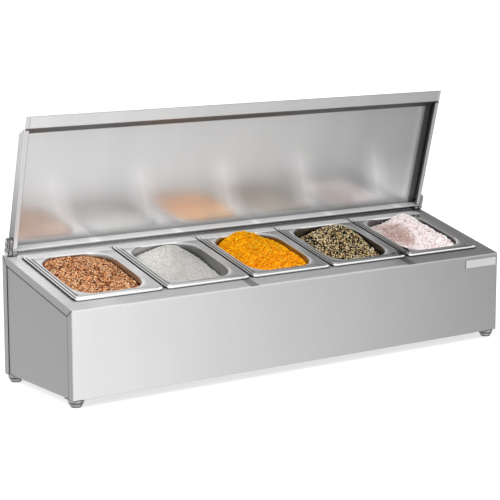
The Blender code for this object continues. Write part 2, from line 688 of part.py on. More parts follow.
def make_lid():
    path = lid_path()
    outline = sheet_outline(path, [LID_BEND_RADIUS, LID_BEND_RADIUS, LID_BEND_RADIUS - SHEET],
                            (1, 1, -1), SHEET)
    shell = flat_solid("lid_shell", outline, LID_WIDTH, material="lid_steel", parent=PIVOT,
                       rotation=PROFILE_ROTATION)
    middle = offset_path(path[:4], SHEET / 2)
    skirt_outline = round_path(middle, [LID_BEND_RADIUS - SHEET / 2] * 2)
    for index in (0, -1):
        skirt_outline[index] = Vector((LID_FREE_EDGE + FOLD_STEP, skirt_outline[index].y))
    skirt_x = HALF_LID - FOLD_STEP - SHEET / 2
    hem_front = LID_FREE_EDGE + 2 * FOLD_STEP
    hem_low = LID_FOOT + LID_HEM_END_GAP
    hem_high = LID_PANEL_HEIGHT + LID_WALL_HEIGHT - LID_HEM_END_GAP
    skirts, hems, holes = [], [], []
    for side, sign in SIDES:
        skirts.append(flat_solid(f"lid_skirt_{side}", skirt_outline, SHEET, parent=PIVOT,
                                 location=(sign * skirt_x, 0.0, 0.0), rotation=PROFILE_ROTATION))
        edges = sorted((sign * skirt_x, sign * (HALF_LID - LID_HEM_WIDTH)))
        hems.append(block(f"lid_hem_{side}", (edges[0], hem_front, hem_low),
                          (edges[1], hem_front + SHEET, hem_high), parent=PIVOT))
        for height in ARM_SCREW_HEIGHTS:
            holes.append(cylinder(f"lid_screw_hole_{side}", ARM_SCREW_RADIUS + SEAT_GAP,
                                  CUT_OVERRUN, parent=PIVOT,
                                  location=(sign * skirt_x, ARM_SCREW_SET_BACK, height),
                                  rotation=(0.0, math.pi / 2, 0.0)))
    for name, items, operation in (("lid_skirts", skirts, "UNION"), ("lid_hems", hems, "UNION"),
                                   ("lid_screw_holes", holes, "DIFFERENCE")):
        cutter = gathered(name, items)
        cutter.parent = PIVOT
        cutter.matrix_parent_inverse = PIVOT.matrix_world.inverted()
        add_boolean(shell, cutter, operation)


def arm_outline():
    """Front edge up from the pivot, round top, back edge down to the sloping heel."""
    heel = math.radians(LID_OPEN_FURTHER_DEG + ARM_HEEL_SPARE_DEG)
    back_low = ARM_BACK_REACH * math.tan(heel) - ARM_END_RADIUS / math.cos(heel)
    top = round_path([(-ARM_END_RADIUS, 0.0), (-ARM_END_RADIUS, ARM_LENGTH),
                      (ARM_BACK_REACH, ARM_LENGTH), (ARM_BACK_REACH, back_low)],
                     [ARM_TOP_RADIUS] * 2)
    end = []
    sweep = math.pi / 2 + heel
    for step in range(CORNER_STEPS + 1):
        angle = math.pi + sweep * (1 - step / CORNER_STEPS)
        end.append(ARM_END_RADIUS * Vector((math.cos(angle), math.sin(angle))))
    return top + end[:-1]


def make_hinges():
    arm_gap = HALF_LID + SEAT_GAP
    arm_outside = arm_gap + ARM_THICKNESS
    screw_places = []
    for side, sign in SIDES:
        sideways = Matrix.Rotation(sign * math.pi / 2, 4, "Y")
        arm = flat_solid(f"hinge_arm_{side}", arm_outline(), ARM_THICKNESS,
                         material="hinge_steel", parent=PIVOT,
                         location=(sign * (arm_gap + ARM_THICKNESS / 2), 0.0, 0.0),
                         rotation=PROFILE_ROTATION)
        holes = [(0.0, 0.0, PIVOT_BOLT_RADIUS + PIVOT_RUNNING_CLEARANCE)]
        for place, height in zip(("low", "high"), ARM_SCREW_HEIGHTS):
            holes.append((ARM_SCREW_SET_BACK, height, ARM_SCREW_RADIUS + SEAT_GAP))
            screw_line = Matrix.Translation((0.0, ARM_SCREW_SET_BACK, height)) @ sideways
            screw_places.append((f"{side}_{place}", screw_line))
        for number, (y, z, radius) in enumerate(holes):
            hole = cylinder(f"arm_hole_{side}_{number}", radius, ARM_THICKNESS + CUT_OVERRUN,
                            sides=ROUND_STEPS, parent=PIVOT,
                            location=(sign * (arm_gap + ARM_THICKNESS / 2), y, z),
                            rotation=(0.0, math.pi / 2, 0.0))
            add_boolean(arm, hole, "DIFFERENCE")
        make_barrel(side, sign)
        make_pivot_bolt(side, sideways, arm_outside)
    head_low = arm_outside + SEAT_GAP
    nut_high = HALF_LID - SHEET - SEAT_GAP
    tip = nut_high - ARM_NUT_HEIGHT - SEAT_GAP
    screw = turned("arm_screw", (
        (0.0, head_low + ARM_SCREW_HEAD_HEIGHT),
        (ARM_SCREW_HEAD_RADIUS, head_low + ARM_SCREW_HEAD_HEIGHT),
        (ARM_SCREW_HEAD_RADIUS, head_low), (ARM_SCREW_RADIUS, head_low),
        (ARM_SCREW_RADIUS, tip), (0.0, tip)))
    place_copies(screw, [(f"arm_screw_{place}", line) for place, line in screw_places],
                 parent=PIVOT)
    nut = make_nut("arm_nut", ARM_NUT_RADIUS, ARM_SCREW_RADIUS, ARM_NUT_HEIGHT)
    lift = Matrix.Translation((0.0, 0.0, nut_high - ARM_NUT_HEIGHT / 2))
    place_copies(nut, [(f"arm_nut_{place}", line @ lift) for place, line in screw_places],
                 parent=PIVOT)


def make_barrel(side, sign):
    """Round barrel on a short foot that stands on the deck, bored for the pivot bolt."""
    centre_x = sign * (HALF_LID - BARREL_LENGTH / 2 - SEAT_GAP)
    barrel = cylinder(f"hinge_barrel_{side}", BARREL_RADIUS, BARREL_LENGTH, sides=ROUND_STEPS,
                      material="hinge_steel", parent=PIVOT_BASE, location=(centre_x, 0.0, 0.0),
                      rotation=(0.0, math.pi / 2, 0.0))
    half = BARREL_LENGTH / 2
    foot = block(f"barrel_foot_{side}",
                 (centre_x - half, -BARREL_FOOT_LENGTH / 2, SEAT_GAP - PIVOT_HEIGHT),
                 (centre_x + half, BARREL_FOOT_LENGTH / 2, 0.0), parent=PIVOT_BASE)
    add_boolean(barrel, foot, "UNION")
    bore = cylinder(f"barrel_bore_{side}", PIVOT_BOLT_RADIUS + SEAT_GAP,
                    BARREL_LENGTH + CUT_OVERRUN, sides=ROUND_STEPS, parent=PIVOT_BASE,
                    location=(centre_x, 0.0, 0.0), rotation=(0.0, math.pi / 2, 0.0))
    add_boolean(barrel, bore, "DIFFERENCE")


def make_pivot_bolt(side, sideways, arm_outside):
    head_low = arm_outside + SEAT_GAP
    head_high = head_low + PIVOT_BOLT_HEAD_HEIGHT
    tip = HALF_LID - BARREL_LENGTH
    bolt = turned(f"pivot_bolt_{side}", (
        (0.0, head_high), (PIVOT_BOLT_HEAD_RADIUS, head_high), (PIVOT_BOLT_HEAD_RADIUS, head_low),
        (PIVOT_BOLT_RADIUS, head_low), (PIVOT_BOLT_RADIUS, tip), (0.0, tip)),
        steps=ROUND_STEPS, material="fastener_steel", parent=PIVOT_BASE)
    bolt.rotation_euler = sideways.to_euler()


clear_scene()
PARTS = new_collection("spice_rack")
CUTTERS = new_collection("cutters")
MADE_MATERIALS = make_materials()
DECK = add_empty("deck_plane", (0.0, FRONT_Y, BASE_Z + FRONT_HEIGHT), (SLOPE, 0.0, 0.0))
PIVOT_BASE = add_empty("hinge_line", (0.0, PIVOT_FROM_FRONT_EDGE, PIVOT_HEIGHT), parent=DECK)
PIVOT = add_empty("lid_pivot", (0.0, PIVOT_FROM_FRONT_EDGE, PIVOT_HEIGHT), parent=DECK)
make_housing()
make_side_panels()
make_badge()
make_feet()
make_pans()
for pan_index, (pan_heap, pan_slot) in enumerate(zip(HEAPS, SPICE_SLOTS)):
    make_spice(pan_index, pan_heap, pan_slot)
make_lid()
make_hinges()
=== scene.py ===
"""Looks of the countertop spice rack: brushed steel, five pans of spice, floor, light and camera.
Metres, +Z up, front towards -Y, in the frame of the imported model."""
import math

import bmesh
import bpy
import numpy as np
from mathutils import Matrix, Vector, geometry, noise


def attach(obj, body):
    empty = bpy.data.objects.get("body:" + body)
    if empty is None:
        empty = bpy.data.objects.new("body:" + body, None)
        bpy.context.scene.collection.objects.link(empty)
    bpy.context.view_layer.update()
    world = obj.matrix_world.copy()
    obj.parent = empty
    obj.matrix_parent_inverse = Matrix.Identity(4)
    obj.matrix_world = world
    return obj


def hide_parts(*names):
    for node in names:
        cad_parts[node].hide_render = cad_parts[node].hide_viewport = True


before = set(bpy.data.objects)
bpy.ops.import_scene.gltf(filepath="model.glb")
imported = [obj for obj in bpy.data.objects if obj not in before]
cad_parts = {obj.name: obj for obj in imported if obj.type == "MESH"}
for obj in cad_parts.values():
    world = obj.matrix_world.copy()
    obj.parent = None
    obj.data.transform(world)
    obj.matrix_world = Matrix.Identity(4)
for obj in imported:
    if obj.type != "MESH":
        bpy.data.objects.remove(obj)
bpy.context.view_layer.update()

# Housing, deck and pans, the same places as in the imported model
HALF_LENGTH = 0.43
FRONT_Y = -0.10725
DEPTH = 0.2156
DECK_FRONT_Z = 0.1502
DECK_RISE = 0.0546
BORDER_WIDTH = 0.012
PAN_COUNT = 5
PAN_PITCH = 0.164
PAN_MIDDLE = 0.1155
PAN_HALF = (0.081, 0.088003)
PAN_RIM_HEIGHT = 0.0026
PAN_RIM_WIDTH = 0.017
PAN_BODY_DEPTH = 0.100
PAN_SHEET = 0.0008
PAN_FLOOR = PAN_RIM_HEIGHT - PAN_BODY_DEPTH + PAN_SHEET
PAN_TAPER = 0.006
MOUTH_RADIUS = 0.038
RADIUS_TAPER = 0.008
FLOOR_ROUND = 0.010
SPICE_CLEARANCE = 0.0004

# Deck coordinates: along x, up the slope from the front edge, and up from the deck
SLOPE = math.atan2(DECK_RISE, DEPTH)
DECK = Matrix.Translation((0.0, FRONT_Y, DECK_FRONT_Z)) @ Matrix.Rotation(SLOPE, 4, "X")
DECK_UP = Vector((0.0, -math.sin(SLOPE), math.cos(SLOPE)))
DECK_BACK = Vector((0.0, math.cos(SLOPE), math.sin(SLOPE)))
PIVOT = DECK @ Vector((0.0, 0.212006, 0.0050))

WHITE = (1.0, 1.0, 1.0, 1.0)
SOFT_STEP = 0.0004
NOISE_SPAN = (0.3, 0.7)
BEVEL_SAMPLES = 4
EDGE_SAMPLES = 8


# Nodes


def linear(code):
    """Linear colour of a hex code."""
    parts = [int(code[i:i + 2], 16) / 255 for i in (1, 3, 5)]
    return tuple(p / 12.92 if p <= 0.04045 else ((p + 0.055) / 1.055) ** 2.4 for p in parts)


def feed(tree, socket, value):
    """Sets a socket to a plain value, or links another node's output to it."""
    if isinstance(value, bpy.types.NodeSocket):
        tree.links.new(value, socket)
    else:
        socket.default_value = value


def node(tree, kind, inputs=None, **settings):
    made = tree.nodes.new(kind)
    for key, value in settings.items():
        setattr(made, key, value)
    for key, value in (inputs or {}).items():
        feed(tree, made.inputs[key], value)
    return made


def math_node(tree, operation, a, b=0.0, clamp=False):
    return node(tree, "ShaderNodeMath", {0: a, 1: b}, operation=operation, use_clamp=clamp).outputs[0]


def plus(tree, a, b):
    return math_node(tree, "ADD", a, b)


def minus(tree, a, b):
    return math_node(tree, "SUBTRACT", a, b)


def times(tree, *values):
    """Product of two or more numbers."""
    product = values[0]
    for value in values[1:]:
        product = math_node(tree, "MULTIPLY", product, value)
    return product


def over(tree, value, limit):
    """1 where the value is above the limit, else 0."""
    return math_node(tree, "GREATER_THAN", value, limit)


def under(tree, value, limit):
    """1 where the value is below the limit, else 0."""
    return math_node(tree, "LESS_THAN", value, limit)


def size_of(tree, value):
    return math_node(tree, "ABSOLUTE", value)


def mapped(tree, value, low, high, to_low, to_high, smooth=False):
    """to_low where the value is low or less, to_high where it is high or more, even between them."""
    kind = "SMOOTHSTEP" if smooth else "LINEAR"
    return node(tree, "ShaderNodeMapRange", {0: value, 1: low, 2: high, 3: to_low, 4: to_high},
                interpolation_type=kind).outputs[0]


def across(tree, x, left, right):
    """left at the housing's left end and right at its right end."""
    return mapped(tree, x, -HALF_LENGTH, HALF_LENGTH, left, right)


def varied(tree, pattern, low, high):
    """A noise pattern's usual span taken to low and high."""
    return mapped(tree, pattern, *NOISE_SPAN, low, high)


def where(tree, mask, value, otherwise=1.0):
    """The value where the mask is 1, and the other one where it is 0."""
    return mapped(tree, mask, 0.0, 1.0, otherwise, value)


def between(tree, value, low, high):
    """1 where the value lies between low and high, with a short soft step at both ends."""
    rise = mapped(tree, value, low - SOFT_STEP, low + SOFT_STEP, 0.0, 1.0)
    fall = mapped(tree, value, high - SOFT_STEP, high + SOFT_STEP, 1.0, 0.0)
    return times(tree, rise, fall)


def ramp(tree, value, stops):
    """Colour ramp; a stop is a place and a grey level or a hex code."""
    made = node(tree, "ShaderNodeValToRGB", {0: value})
    elements = made.color_ramp.elements
    stops = tuple(stops)
    while len(elements) < len(stops):
        elements.new(1.0)
    for element, (place, colour) in zip(elements, stops):
        element.position = place
        element.color = (*(linear(colour) if isinstance(colour, str) else (colour,) * 3), 1.0)
    return made.outputs[0]


def tinted(tree, colour, factor):
    """A colour times a number or a second colour."""
    return node(tree, "ShaderNodeMix", {0: 1.0, 6: colour, 7: factor}, data_type="RGBA",
                blend_type="MULTIPLY").outputs[2]


def mixed_colour(tree, share, first, second):
    return node(tree, "ShaderNodeMix", {0: share, 6: first, 7: second}, data_type="RGBA").outputs[2]


def split(tree, vector):
    """The x, y and z of a vector."""
    return node(tree, "ShaderNodeSeparateXYZ", {0: vector}).outputs


def along(tree, vector, direction):
    """How far a vector reaches in a direction."""
    return node(tree, "ShaderNodeVectorMath", {0: vector, 1: direction},
                operation="DOT_PRODUCT").outputs["Value"]


def repeated(tree, value, phase, pitch):
    """Distance to the nearest of a row of places a pitch apart."""
    wrapped = node(tree, "ShaderNodeMath", {0: minus(tree, value, phase), 1: pitch / 2, 2: -pitch / 2},
                   operation="WRAP").outputs[0]
    return size_of(tree, wrapped)


def deck_place(tree, place):
    """Distance up the slope from the front edge, and height above the deck."""
    up_slope = minus(tree, along(tree, place, DECK_BACK), DECK.translation.dot(DECK_BACK))
    above = minus(tree, along(tree, place, DECK_UP), DECK.translation.dot(DECK_UP))
    return up_slope, above


def stretched_noise(tree, place, scale, detail=2.0, roughness=0.5):
    """Noise with a scale of its own along x, y and z."""
    spread = node(tree, "ShaderNodeMapping", {"Vector": place, "Scale": scale}).outputs[0]
    return node(tree, "ShaderNodeTexNoise", {"Vector": spread, "Scale": 1.0, "Detail": detail,
                                             "Roughness": roughness}).outputs[0]


def attribute(tree, name):
    return node(tree, "ShaderNodeAttribute", attribute_name=name).outputs["Fac"]


def openness(tree, reach):
    """Near 0 in creases and hollows of about this size, and 1 in the open."""
    return node(tree, "ShaderNodeAmbientOcclusion", {"Distance": reach}, samples=EDGE_SAMPLES).outputs["AO"]


def new_material(name):
    material = bpy.data.materials.new(name)
    material.use_nodes = True
    return material, material.node_tree, material.node_tree.nodes["Principled BSDF"]


def add_bump(tree, shader, pattern, relief, edge=0.0):
    """Relief (strength, height) on a shader, over edges that look rounded by edge metres."""
    inputs = {"Strength": relief[0], "Distance": relief[1], "Height": pattern}
    if edge:
        inputs["Normal"] = node(tree, "ShaderNodeBevel", {"Radius": edge}, samples=BEVEL_SAMPLES).outputs[0]
    feed(tree, shader.inputs["Normal"], node(tree, "ShaderNodeBump", inputs).outputs[0])


# Zones of the lid, whose levels are painted light and shade. Its faces are told apart by metres up
# and back from the pivot as it stands open, by metres from the middle, and by their normals. A
# gradient is (low, high, level at low, level at high), here and below.

SIDE_FACING = 0.5
WALL_UP, WALL_FACING = (0.1945, 0.2075), -0.4
SHELF_UP, SHELF_FACING = 0.0070, 0.7
HEM_X, HEM_BACK = 0.4124, -0.0028
LIP_UP, LIP_FACING = 0.2082, -0.3
PANEL_BACK, PANEL_FACING = 0.0110, -0.7

# Painted shade on the inner sides, slanted wall, lower outer sides, hem edge and lip top; painted
# highlights on hems, lip and rear skirt
INNER_SHADE = (-0.004, 0.012, 0.80, 0.06)
INNER_METALLIC = (-0.004, 0.006, 0.40, 0.95)
WALL_SHADE = 0.20
DARK_ROUGHNESS = 0.25
HEM_HIGHLIGHT = (0.0, 0.070, 1.32, 1.08)
HEM_LINE = (0.4126, 0.4136, 0.45, 1.0)
OUTER_HEIGHT = 0.23
OUTER_SHADE_STOPS = ((0.0, 0.26), (0.20, 0.44), (0.40, 0.62), (0.60, 0.82), (1.0, 0.90))
LIP_EDGE = (0.2262, 0.2266, 1.0, 0.62)
LIP_HIGHLIGHT = (1.04, 1.22)
SHELF_HIGHLIGHT = 1.30
LID_METALLIC, PALE_METALLIC = 0.52, 0.12

# Panel and rear skirt: glints a pan pitch apart, a shaded foot, reflection streaks and a glow are painted
# light; the side lines are painted shade
GLINT_X, GLINT_PITCH = 0.053, 0.160
GLINT_LEVEL = (0.002, 0.014, 1.25, 1.0)
FOOT_HEIGHT = 0.060
FOOT_STOPS = ((0.0, 1.10), (0.09, 1.10), (0.115, 0.40), (0.16, 0.43), (0.22, 0.64), (0.30, 0.92),
              (0.36, 1.12), (0.48, 1.15), (0.80, 1.0))
REFLECTION_X, REFLECTION_LEAN = 0.0138, 0.37
REFLECTION_CORE = (0.0, 0.010, 0.12, 0.0)
REFLECTION_HALO = (0.0, 0.040, 0.34, 0.0)
REFLECTION_START = (0.016, 0.034, 0.0, 1.0)
REFLECTION_END = (0.050, 0.150, 1.0, 0.0)
REFLECTION_GROWTH = (-0.40, 0.05, 0.6, 1.3)
GLOW_ACROSS = (0.26, 0.34, 0.0, 1.0)
GLOW_UP = (0.040, 0.120, 1.0, 0.0)
GLOW_LEVEL = 0.30
BRIGHT_X = 0.03
BRIGHT_LEVEL = (0.02, 0.30, 1.14, 1.0)
RIGHT_LINE = (0.4040, 0.4056, 1.0, 0.30)
RIGHT_GAIN = (0.380, 0.402, 1.0, 1.22)
LEFT_LINE = (-0.4140, -0.4125, 0.30, 1.0)


def panel_level(tree, x, up, glints):
    """Inner panel, painted light and shade: a shaded foot, pale slanted reflection streaks, a paler middle
    and right, dark side lines.
    """
    foot = ramp(tree, math_node(tree, "DIVIDE", up, FOOT_HEIGHT), FOOT_STOPS)
    slanted = plus(tree, x, times(tree, up, REFLECTION_LEAN))
    off = repeated(tree, slanted, REFLECTION_X, PAN_PITCH)
    streak = plus(tree, mapped(tree, off, *REFLECTION_CORE, smooth=True),
                  mapped(tree, off, *REFLECTION_HALO, smooth=True))
    streak = times(tree, streak, mapped(tree, up, *REFLECTION_START, smooth=True),
                   mapped(tree, up, *REFLECTION_END, smooth=True), mapped(tree, x, *REFLECTION_GROWTH))
    glow = times(tree, mapped(tree, x, *GLOW_ACROSS, smooth=True),
                 mapped(tree, up, *GLOW_UP, smooth=True), GLOW_LEVEL)
    light = plus(tree, plus(tree, streak, glow), 1.0)
    middle = mapped(tree, size_of(tree, minus(tree, x, BRIGHT_X)), *BRIGHT_LEVEL, smooth=True)
    margin = times(tree, mapped(tree, x, *RIGHT_LINE), mapped(tree, x, *RIGHT_GAIN, smooth=True),
                   mapped(tree, x, *LEFT_LINE))
    return times(tree, light, times(tree, foot, glints), middle, margin)


def lid_zones(tree, coordinates):
    """Painted shade on the inner sides and slanted wall, painted light on the panel, and painted highlights
    on hems, lip and rear skirt.
    """
    place, normal = coordinates["Object"], coordinates["Normal"]
    x = split(tree, place)[0]
    from_middle = size_of(tree, x)
    up = minus(tree, along(tree, place, DECK_UP), PIVOT.dot(DECK_UP))
    back = minus(tree, along(tree, place, DECK_BACK), PIVOT.dot(DECK_BACK))
    facing_up, facing_back = along(tree, normal, DECK_UP), along(tree, normal, DECK_BACK)
    outward = times(tree, split(tree, normal)[0], math_node(tree, "SIGN", x))

    inner = under(tree, outward, -SIDE_FACING)
    outer = over(tree, outward, SIDE_FACING)
    wall = times(tree, between(tree, up, *WALL_UP), under(tree, facing_up, WALL_FACING))
    shelf = times(tree, under(tree, up, SHELF_UP), over(tree, facing_up, SHELF_FACING))
    hem = times(tree, over(tree, from_middle, HEM_X), under(tree, back, HEM_BACK))
    lip = times(tree, over(tree, up, LIP_UP), under(tree, facing_back, LIP_FACING))
    panel = times(tree, over(tree, back, PANEL_BACK), under(tree, facing_back, PANEL_FACING))
    dark = math_node(tree, "MAXIMUM", inner, wall)
    pale = math_node(tree, "MAXIMUM", shelf, hem)

    glints = mapped(tree, repeated(tree, x, GLINT_X, GLINT_PITCH), *GLINT_LEVEL, smooth=True)
    glints = where(tree, under(tree, up, SHELF_UP), glints)
    shade = where(tree, wall, WALL_SHADE, mapped(tree, back, *INNER_SHADE))
    outer_level = ramp(tree, math_node(tree, "DIVIDE", up, OUTER_HEIGHT), OUTER_SHADE_STOPS)
    lip_level = times(tree, mapped(tree, up, *LIP_EDGE), across(tree, x, *LIP_HIGHLIGHT))
    factor = times(tree, where(tree, dark, shade),
                   where(tree, hem, mapped(tree, up, *HEM_HIGHLIGHT)),
                   where(tree, outer, outer_level),
                   where(tree, hem, mapped(tree, from_middle, *HEM_LINE)),
                   where(tree, lip, lip_level),
                   where(tree, panel, panel_level(tree, x, up, glints)),
                   where(tree, shelf, times(tree, glints, SHELF_HIGHLIGHT)))
    metallic = where(tree, pale, PALE_METALLIC, LID_METALLIC)
    metallic = where(tree, inner, mapped(tree, back, *INNER_METALLIC), metallic)
    return factor, where(tree, dark, DARK_ROUGHNESS, 0.0), metallic


# Zones of the side panels and the housing

BORDER_LAP = 0.0018
BORDER_LINE = (0.0008, 0.0022, 0.22, 1.0)
# Corners of the side borders: y, z and the way the mitre cut runs
MITRES = ((FRONT_Y, DECK_FRONT_Z, (0.789, -0.614)),
          (FRONT_Y + DEPTH, DECK_FRONT_Z + DECK_RISE, (-0.614, -0.789)))
MITRE_LINE = (0.0005, 0.0012, 0.12, 1.0)
# Painted shade on the side borders and inside the housing, and a painted highlight along the front top bend
END_X, END_SHADE = 0.4285, 0.70
INSIDE_BELOW, INSIDE_SHEET, INSIDE_SHADE = -0.0009, 0.0007, 0.14
BEND_REACH, BEND_HIGHLIGHT = (0.0014, 0.0026), (1.14, 1.75)
# Deck: painted shade to the right, at the front of its left end and in the shadow behind the pans
DECK_FACING, DECK_METALLIC = 0.8, 0.45
DECK_STOPS = ((0.0, 0.92), (0.05, 0.86), (0.12, 0.59), (0.50, 0.58), (0.73, 0.52), (0.785, 0.27),
              (1.0, 0.25))
MARGIN_X, MARGIN_LEVEL = (-0.40, -0.36), (0.020, 0.140, 0.74, 0.98)
DECK_PATCHES, PATCH_END = (-0.094, 0.234), 0.0285
PATCH_LEVEL = (0.0070, 0.0095, 0.42, 1.0)
BEHIND_PANS = (0.2040, 0.2064, 0.0, 1.0)
BEHIND_STOPS = ((0.0, 1.02), (0.30, 0.98), (0.48, 0.60), (1.0, 0.37))


def side_zones(tree, coordinates):
    """Dark line on the side panels where the folded border ends."""
    place = coordinates["Object"]
    y = split(tree, place)[1]
    below_top = minus(tree, -BORDER_WIDTH - BORDER_LAP, deck_place(tree, place)[1])
    from_front = minus(tree, y, FRONT_Y + BORDER_WIDTH + BORDER_LAP)
    from_back = minus(tree, FRONT_Y + DEPTH - BORDER_WIDTH, y)
    inside = math_node(tree, "MINIMUM", below_top, math_node(tree, "MINIMUM", from_front, from_back))
    return mapped(tree, inside, *BORDER_LINE), 0.0, 1.0


def deck_level(tree, x, up_slope):
    """Deck in painted shade: darker to the right, at the front of its left end and behind the pans, with
    two dark patches on the front strip.
    """
    share = across(tree, x, 0.0, 1.0)
    margin = mapped(tree, up_slope, *MARGIN_LEVEL)
    level = times(tree, ramp(tree, share, DECK_STOPS), mapped(tree, x, *MARGIN_X, margin, 1.0))
    for patch in DECK_PATCHES:
        dim = mapped(tree, size_of(tree, minus(tree, x, patch)), *PATCH_LEVEL)
        level = times(tree, level, where(tree, under(tree, up_slope, PATCH_END), dim))
    behind = mapped(tree, up_slope, *BEHIND_PANS, smooth=True)
    return where(tree, behind, ramp(tree, share, BEHIND_STOPS), level)


def housing_zones(tree, coordinates):
    """Mitre cuts in side borders darkened by painted shade, the deck, a painted highlight on the front bend
    and painted shade inside.
    """
    place, normal = coordinates["Object"], coordinates["Normal"]
    x, y, z = split(tree, place)
    up_slope, above = deck_place(tree, place)
    end_shade = END_SHADE
    for corner_y, corner_z, way in MITRES:
        off = minus(tree, times(tree, minus(tree, y, corner_y), way[1]),
                    times(tree, minus(tree, z, corner_z), way[0]))
        end_shade = times(tree, mapped(tree, size_of(tree, off), *MITRE_LINE), end_shade)
    ends = over(tree, size_of(tree, x), END_X)
    deck = over(tree, along(tree, normal, DECK_UP), DECK_FACING)
    inside = times(tree, under(tree, above, INSIDE_BELOW), under(tree, size_of(tree, x), END_X),
                   over(tree, y, FRONT_Y + INSIDE_SHEET), under(tree, y, FRONT_Y + DEPTH - INSIDE_SHEET))
    from_bend = node(tree, "ShaderNodeVectorMath",
                     {0: node(tree, "ShaderNodeCombineXYZ", {1: y, 2: z}).outputs[0],
                      1: (0.0, FRONT_Y, DECK_FRONT_Z)}, operation="DISTANCE").outputs["Value"]
    factor = times(tree, where(tree, ends, end_shade), where(tree, inside, INSIDE_SHADE),
                   mapped(tree, from_bend, *BEND_REACH, across(tree, x, *BEND_HIGHLIGHT), 1.0),
                   where(tree, deck, deck_level(tree, x, up_slope)))
    return factor, 0.0, where(tree, deck, DECK_METALLIC)


# Zones of the pans, by metres in from the rim's outer edge

BEAD_INSET, MOUTH_INSET, WALL_INSET = (0.0003, 0.0046), (0.0148, 0.0168), 0.0172
# Along the rim's left side: dark stripes of painted shade in the grooves, pale stripes of painted
# reflection on the beads
RIM_STRIPE_STOPS = ((0.0, 0.08), (0.045, 0.14), (0.09, 1.05), (0.25, 1.05), (0.30, 0.06), (0.36, 0.06),
                (0.42, 1.05), (0.61, 1.05), (0.69, 0.08), (0.76, 0.10), (0.83, 1.05), (1.0, 1.05))
# Painted highlights on the front bead, mouth and back rim; painted shade on the rims further right and on
# the inner walls
BEAD_HIGHLIGHT = (-0.40, 0.40, 1.12, 3.3)
MOUTH_HIGHLIGHT = (-0.40, 0.40, 1.1, 1.8)
BACK_HIGHLIGHT = (-0.40, 0.40, 1.0, 1.6)
RIM_SHADE = (-0.31, -0.09, 1.0, 0.74)
PAN_WALL_SHADE = (-0.30, 0.30, 0.88, 0.44)
PAN_WALL_ROUGHNESS = 0.24
RIM_PALE_METALLIC = 0.35


def pan_zones(tree, coordinates):
    """Painted shade in the rim's left grooves and painted reflection on its beads, painted highlights on
    the front, back and mouth edges, painted shade on inner walls and rims to the right.
    """
    place = coordinates["Object"]
    x = split(tree, place)[0]
    up_slope = deck_place(tree, place)[0]
    inset, left, front = (attribute(tree, name) for name in ("inset", "left", "front"))
    bead = times(tree, between(tree, inset, *BEAD_INSET), front)
    mouth = between(tree, inset, *MOUTH_INSET)
    wall = over(tree, inset, WALL_INSET)
    back = times(tree, under(tree, inset, WALL_INSET),
                 over(tree, up_slope, PAN_MIDDLE + PAN_HALF[1] - PAN_RIM_WIDTH))
    rim_stripes = ramp(tree, math_node(tree, "DIVIDE", inset, PAN_RIM_WIDTH), RIM_STRIPE_STOPS)
    factor = times(tree, where(tree, left, rim_stripes),
                   where(tree, bead, mapped(tree, x, *BEAD_HIGHLIGHT)),
                   where(tree, mouth, mapped(tree, x, *MOUTH_HIGHLIGHT)),
                   where(tree, back, mapped(tree, x, *BACK_HIGHLIGHT)),
                   where(tree, back, 1.0, mapped(tree, x, *RIM_SHADE)),
                   where(tree, wall, mapped(tree, x, *PAN_WALL_SHADE)))
    pale = math_node(tree, "MAXIMUM", back, bead)
    return factor, where(tree, wall, PAN_WALL_ROUGHNESS, 0.0), where(tree, pale, RIM_PALE_METALLIC)


# Steel and rubber of the carried-over nodes

BRUSHED_LONG = (12.0, 2400.0, 2400.0)
BRUSHED_UP = (2400.0, 2400.0, 12.0)
BRUSHED_DEEP = (2400.0, 12.0, 2400.0)
EVEN_GRAIN = (900.0, 900.0, 900.0)
BROAD_BANDS = (14.0, 1.5, 1.5)
CLOUDS = (7.0, 7.0, 7.0)
CLOUD_LEVELS = (0.985, 1.015)
BAND_SHARE = 0.7
ROUGHNESS_SPREAD = 0.1
LINE_DETAIL, LINE_ROUGHNESS = 3.0, 0.65
EDGE_LEVEL = (0.90, 0.995, 0.12, 1.0)
CREVICE_SPAN = (0.15, 0.85)
# Fine relief is (strength, height in metres)
STEEL_RELIEF, RUBBER_RELIEF = (0.03, 0.0001), (0.15, 0.0002)


def spread_roughness(tree, pattern, roughness):
    """A roughness that varies a little with a noise pattern."""
    return varied(tree, pattern, roughness * (1.0 - ROUGHNESS_SPREAD), roughness * (1.0 + ROUGHNESS_SPREAD))


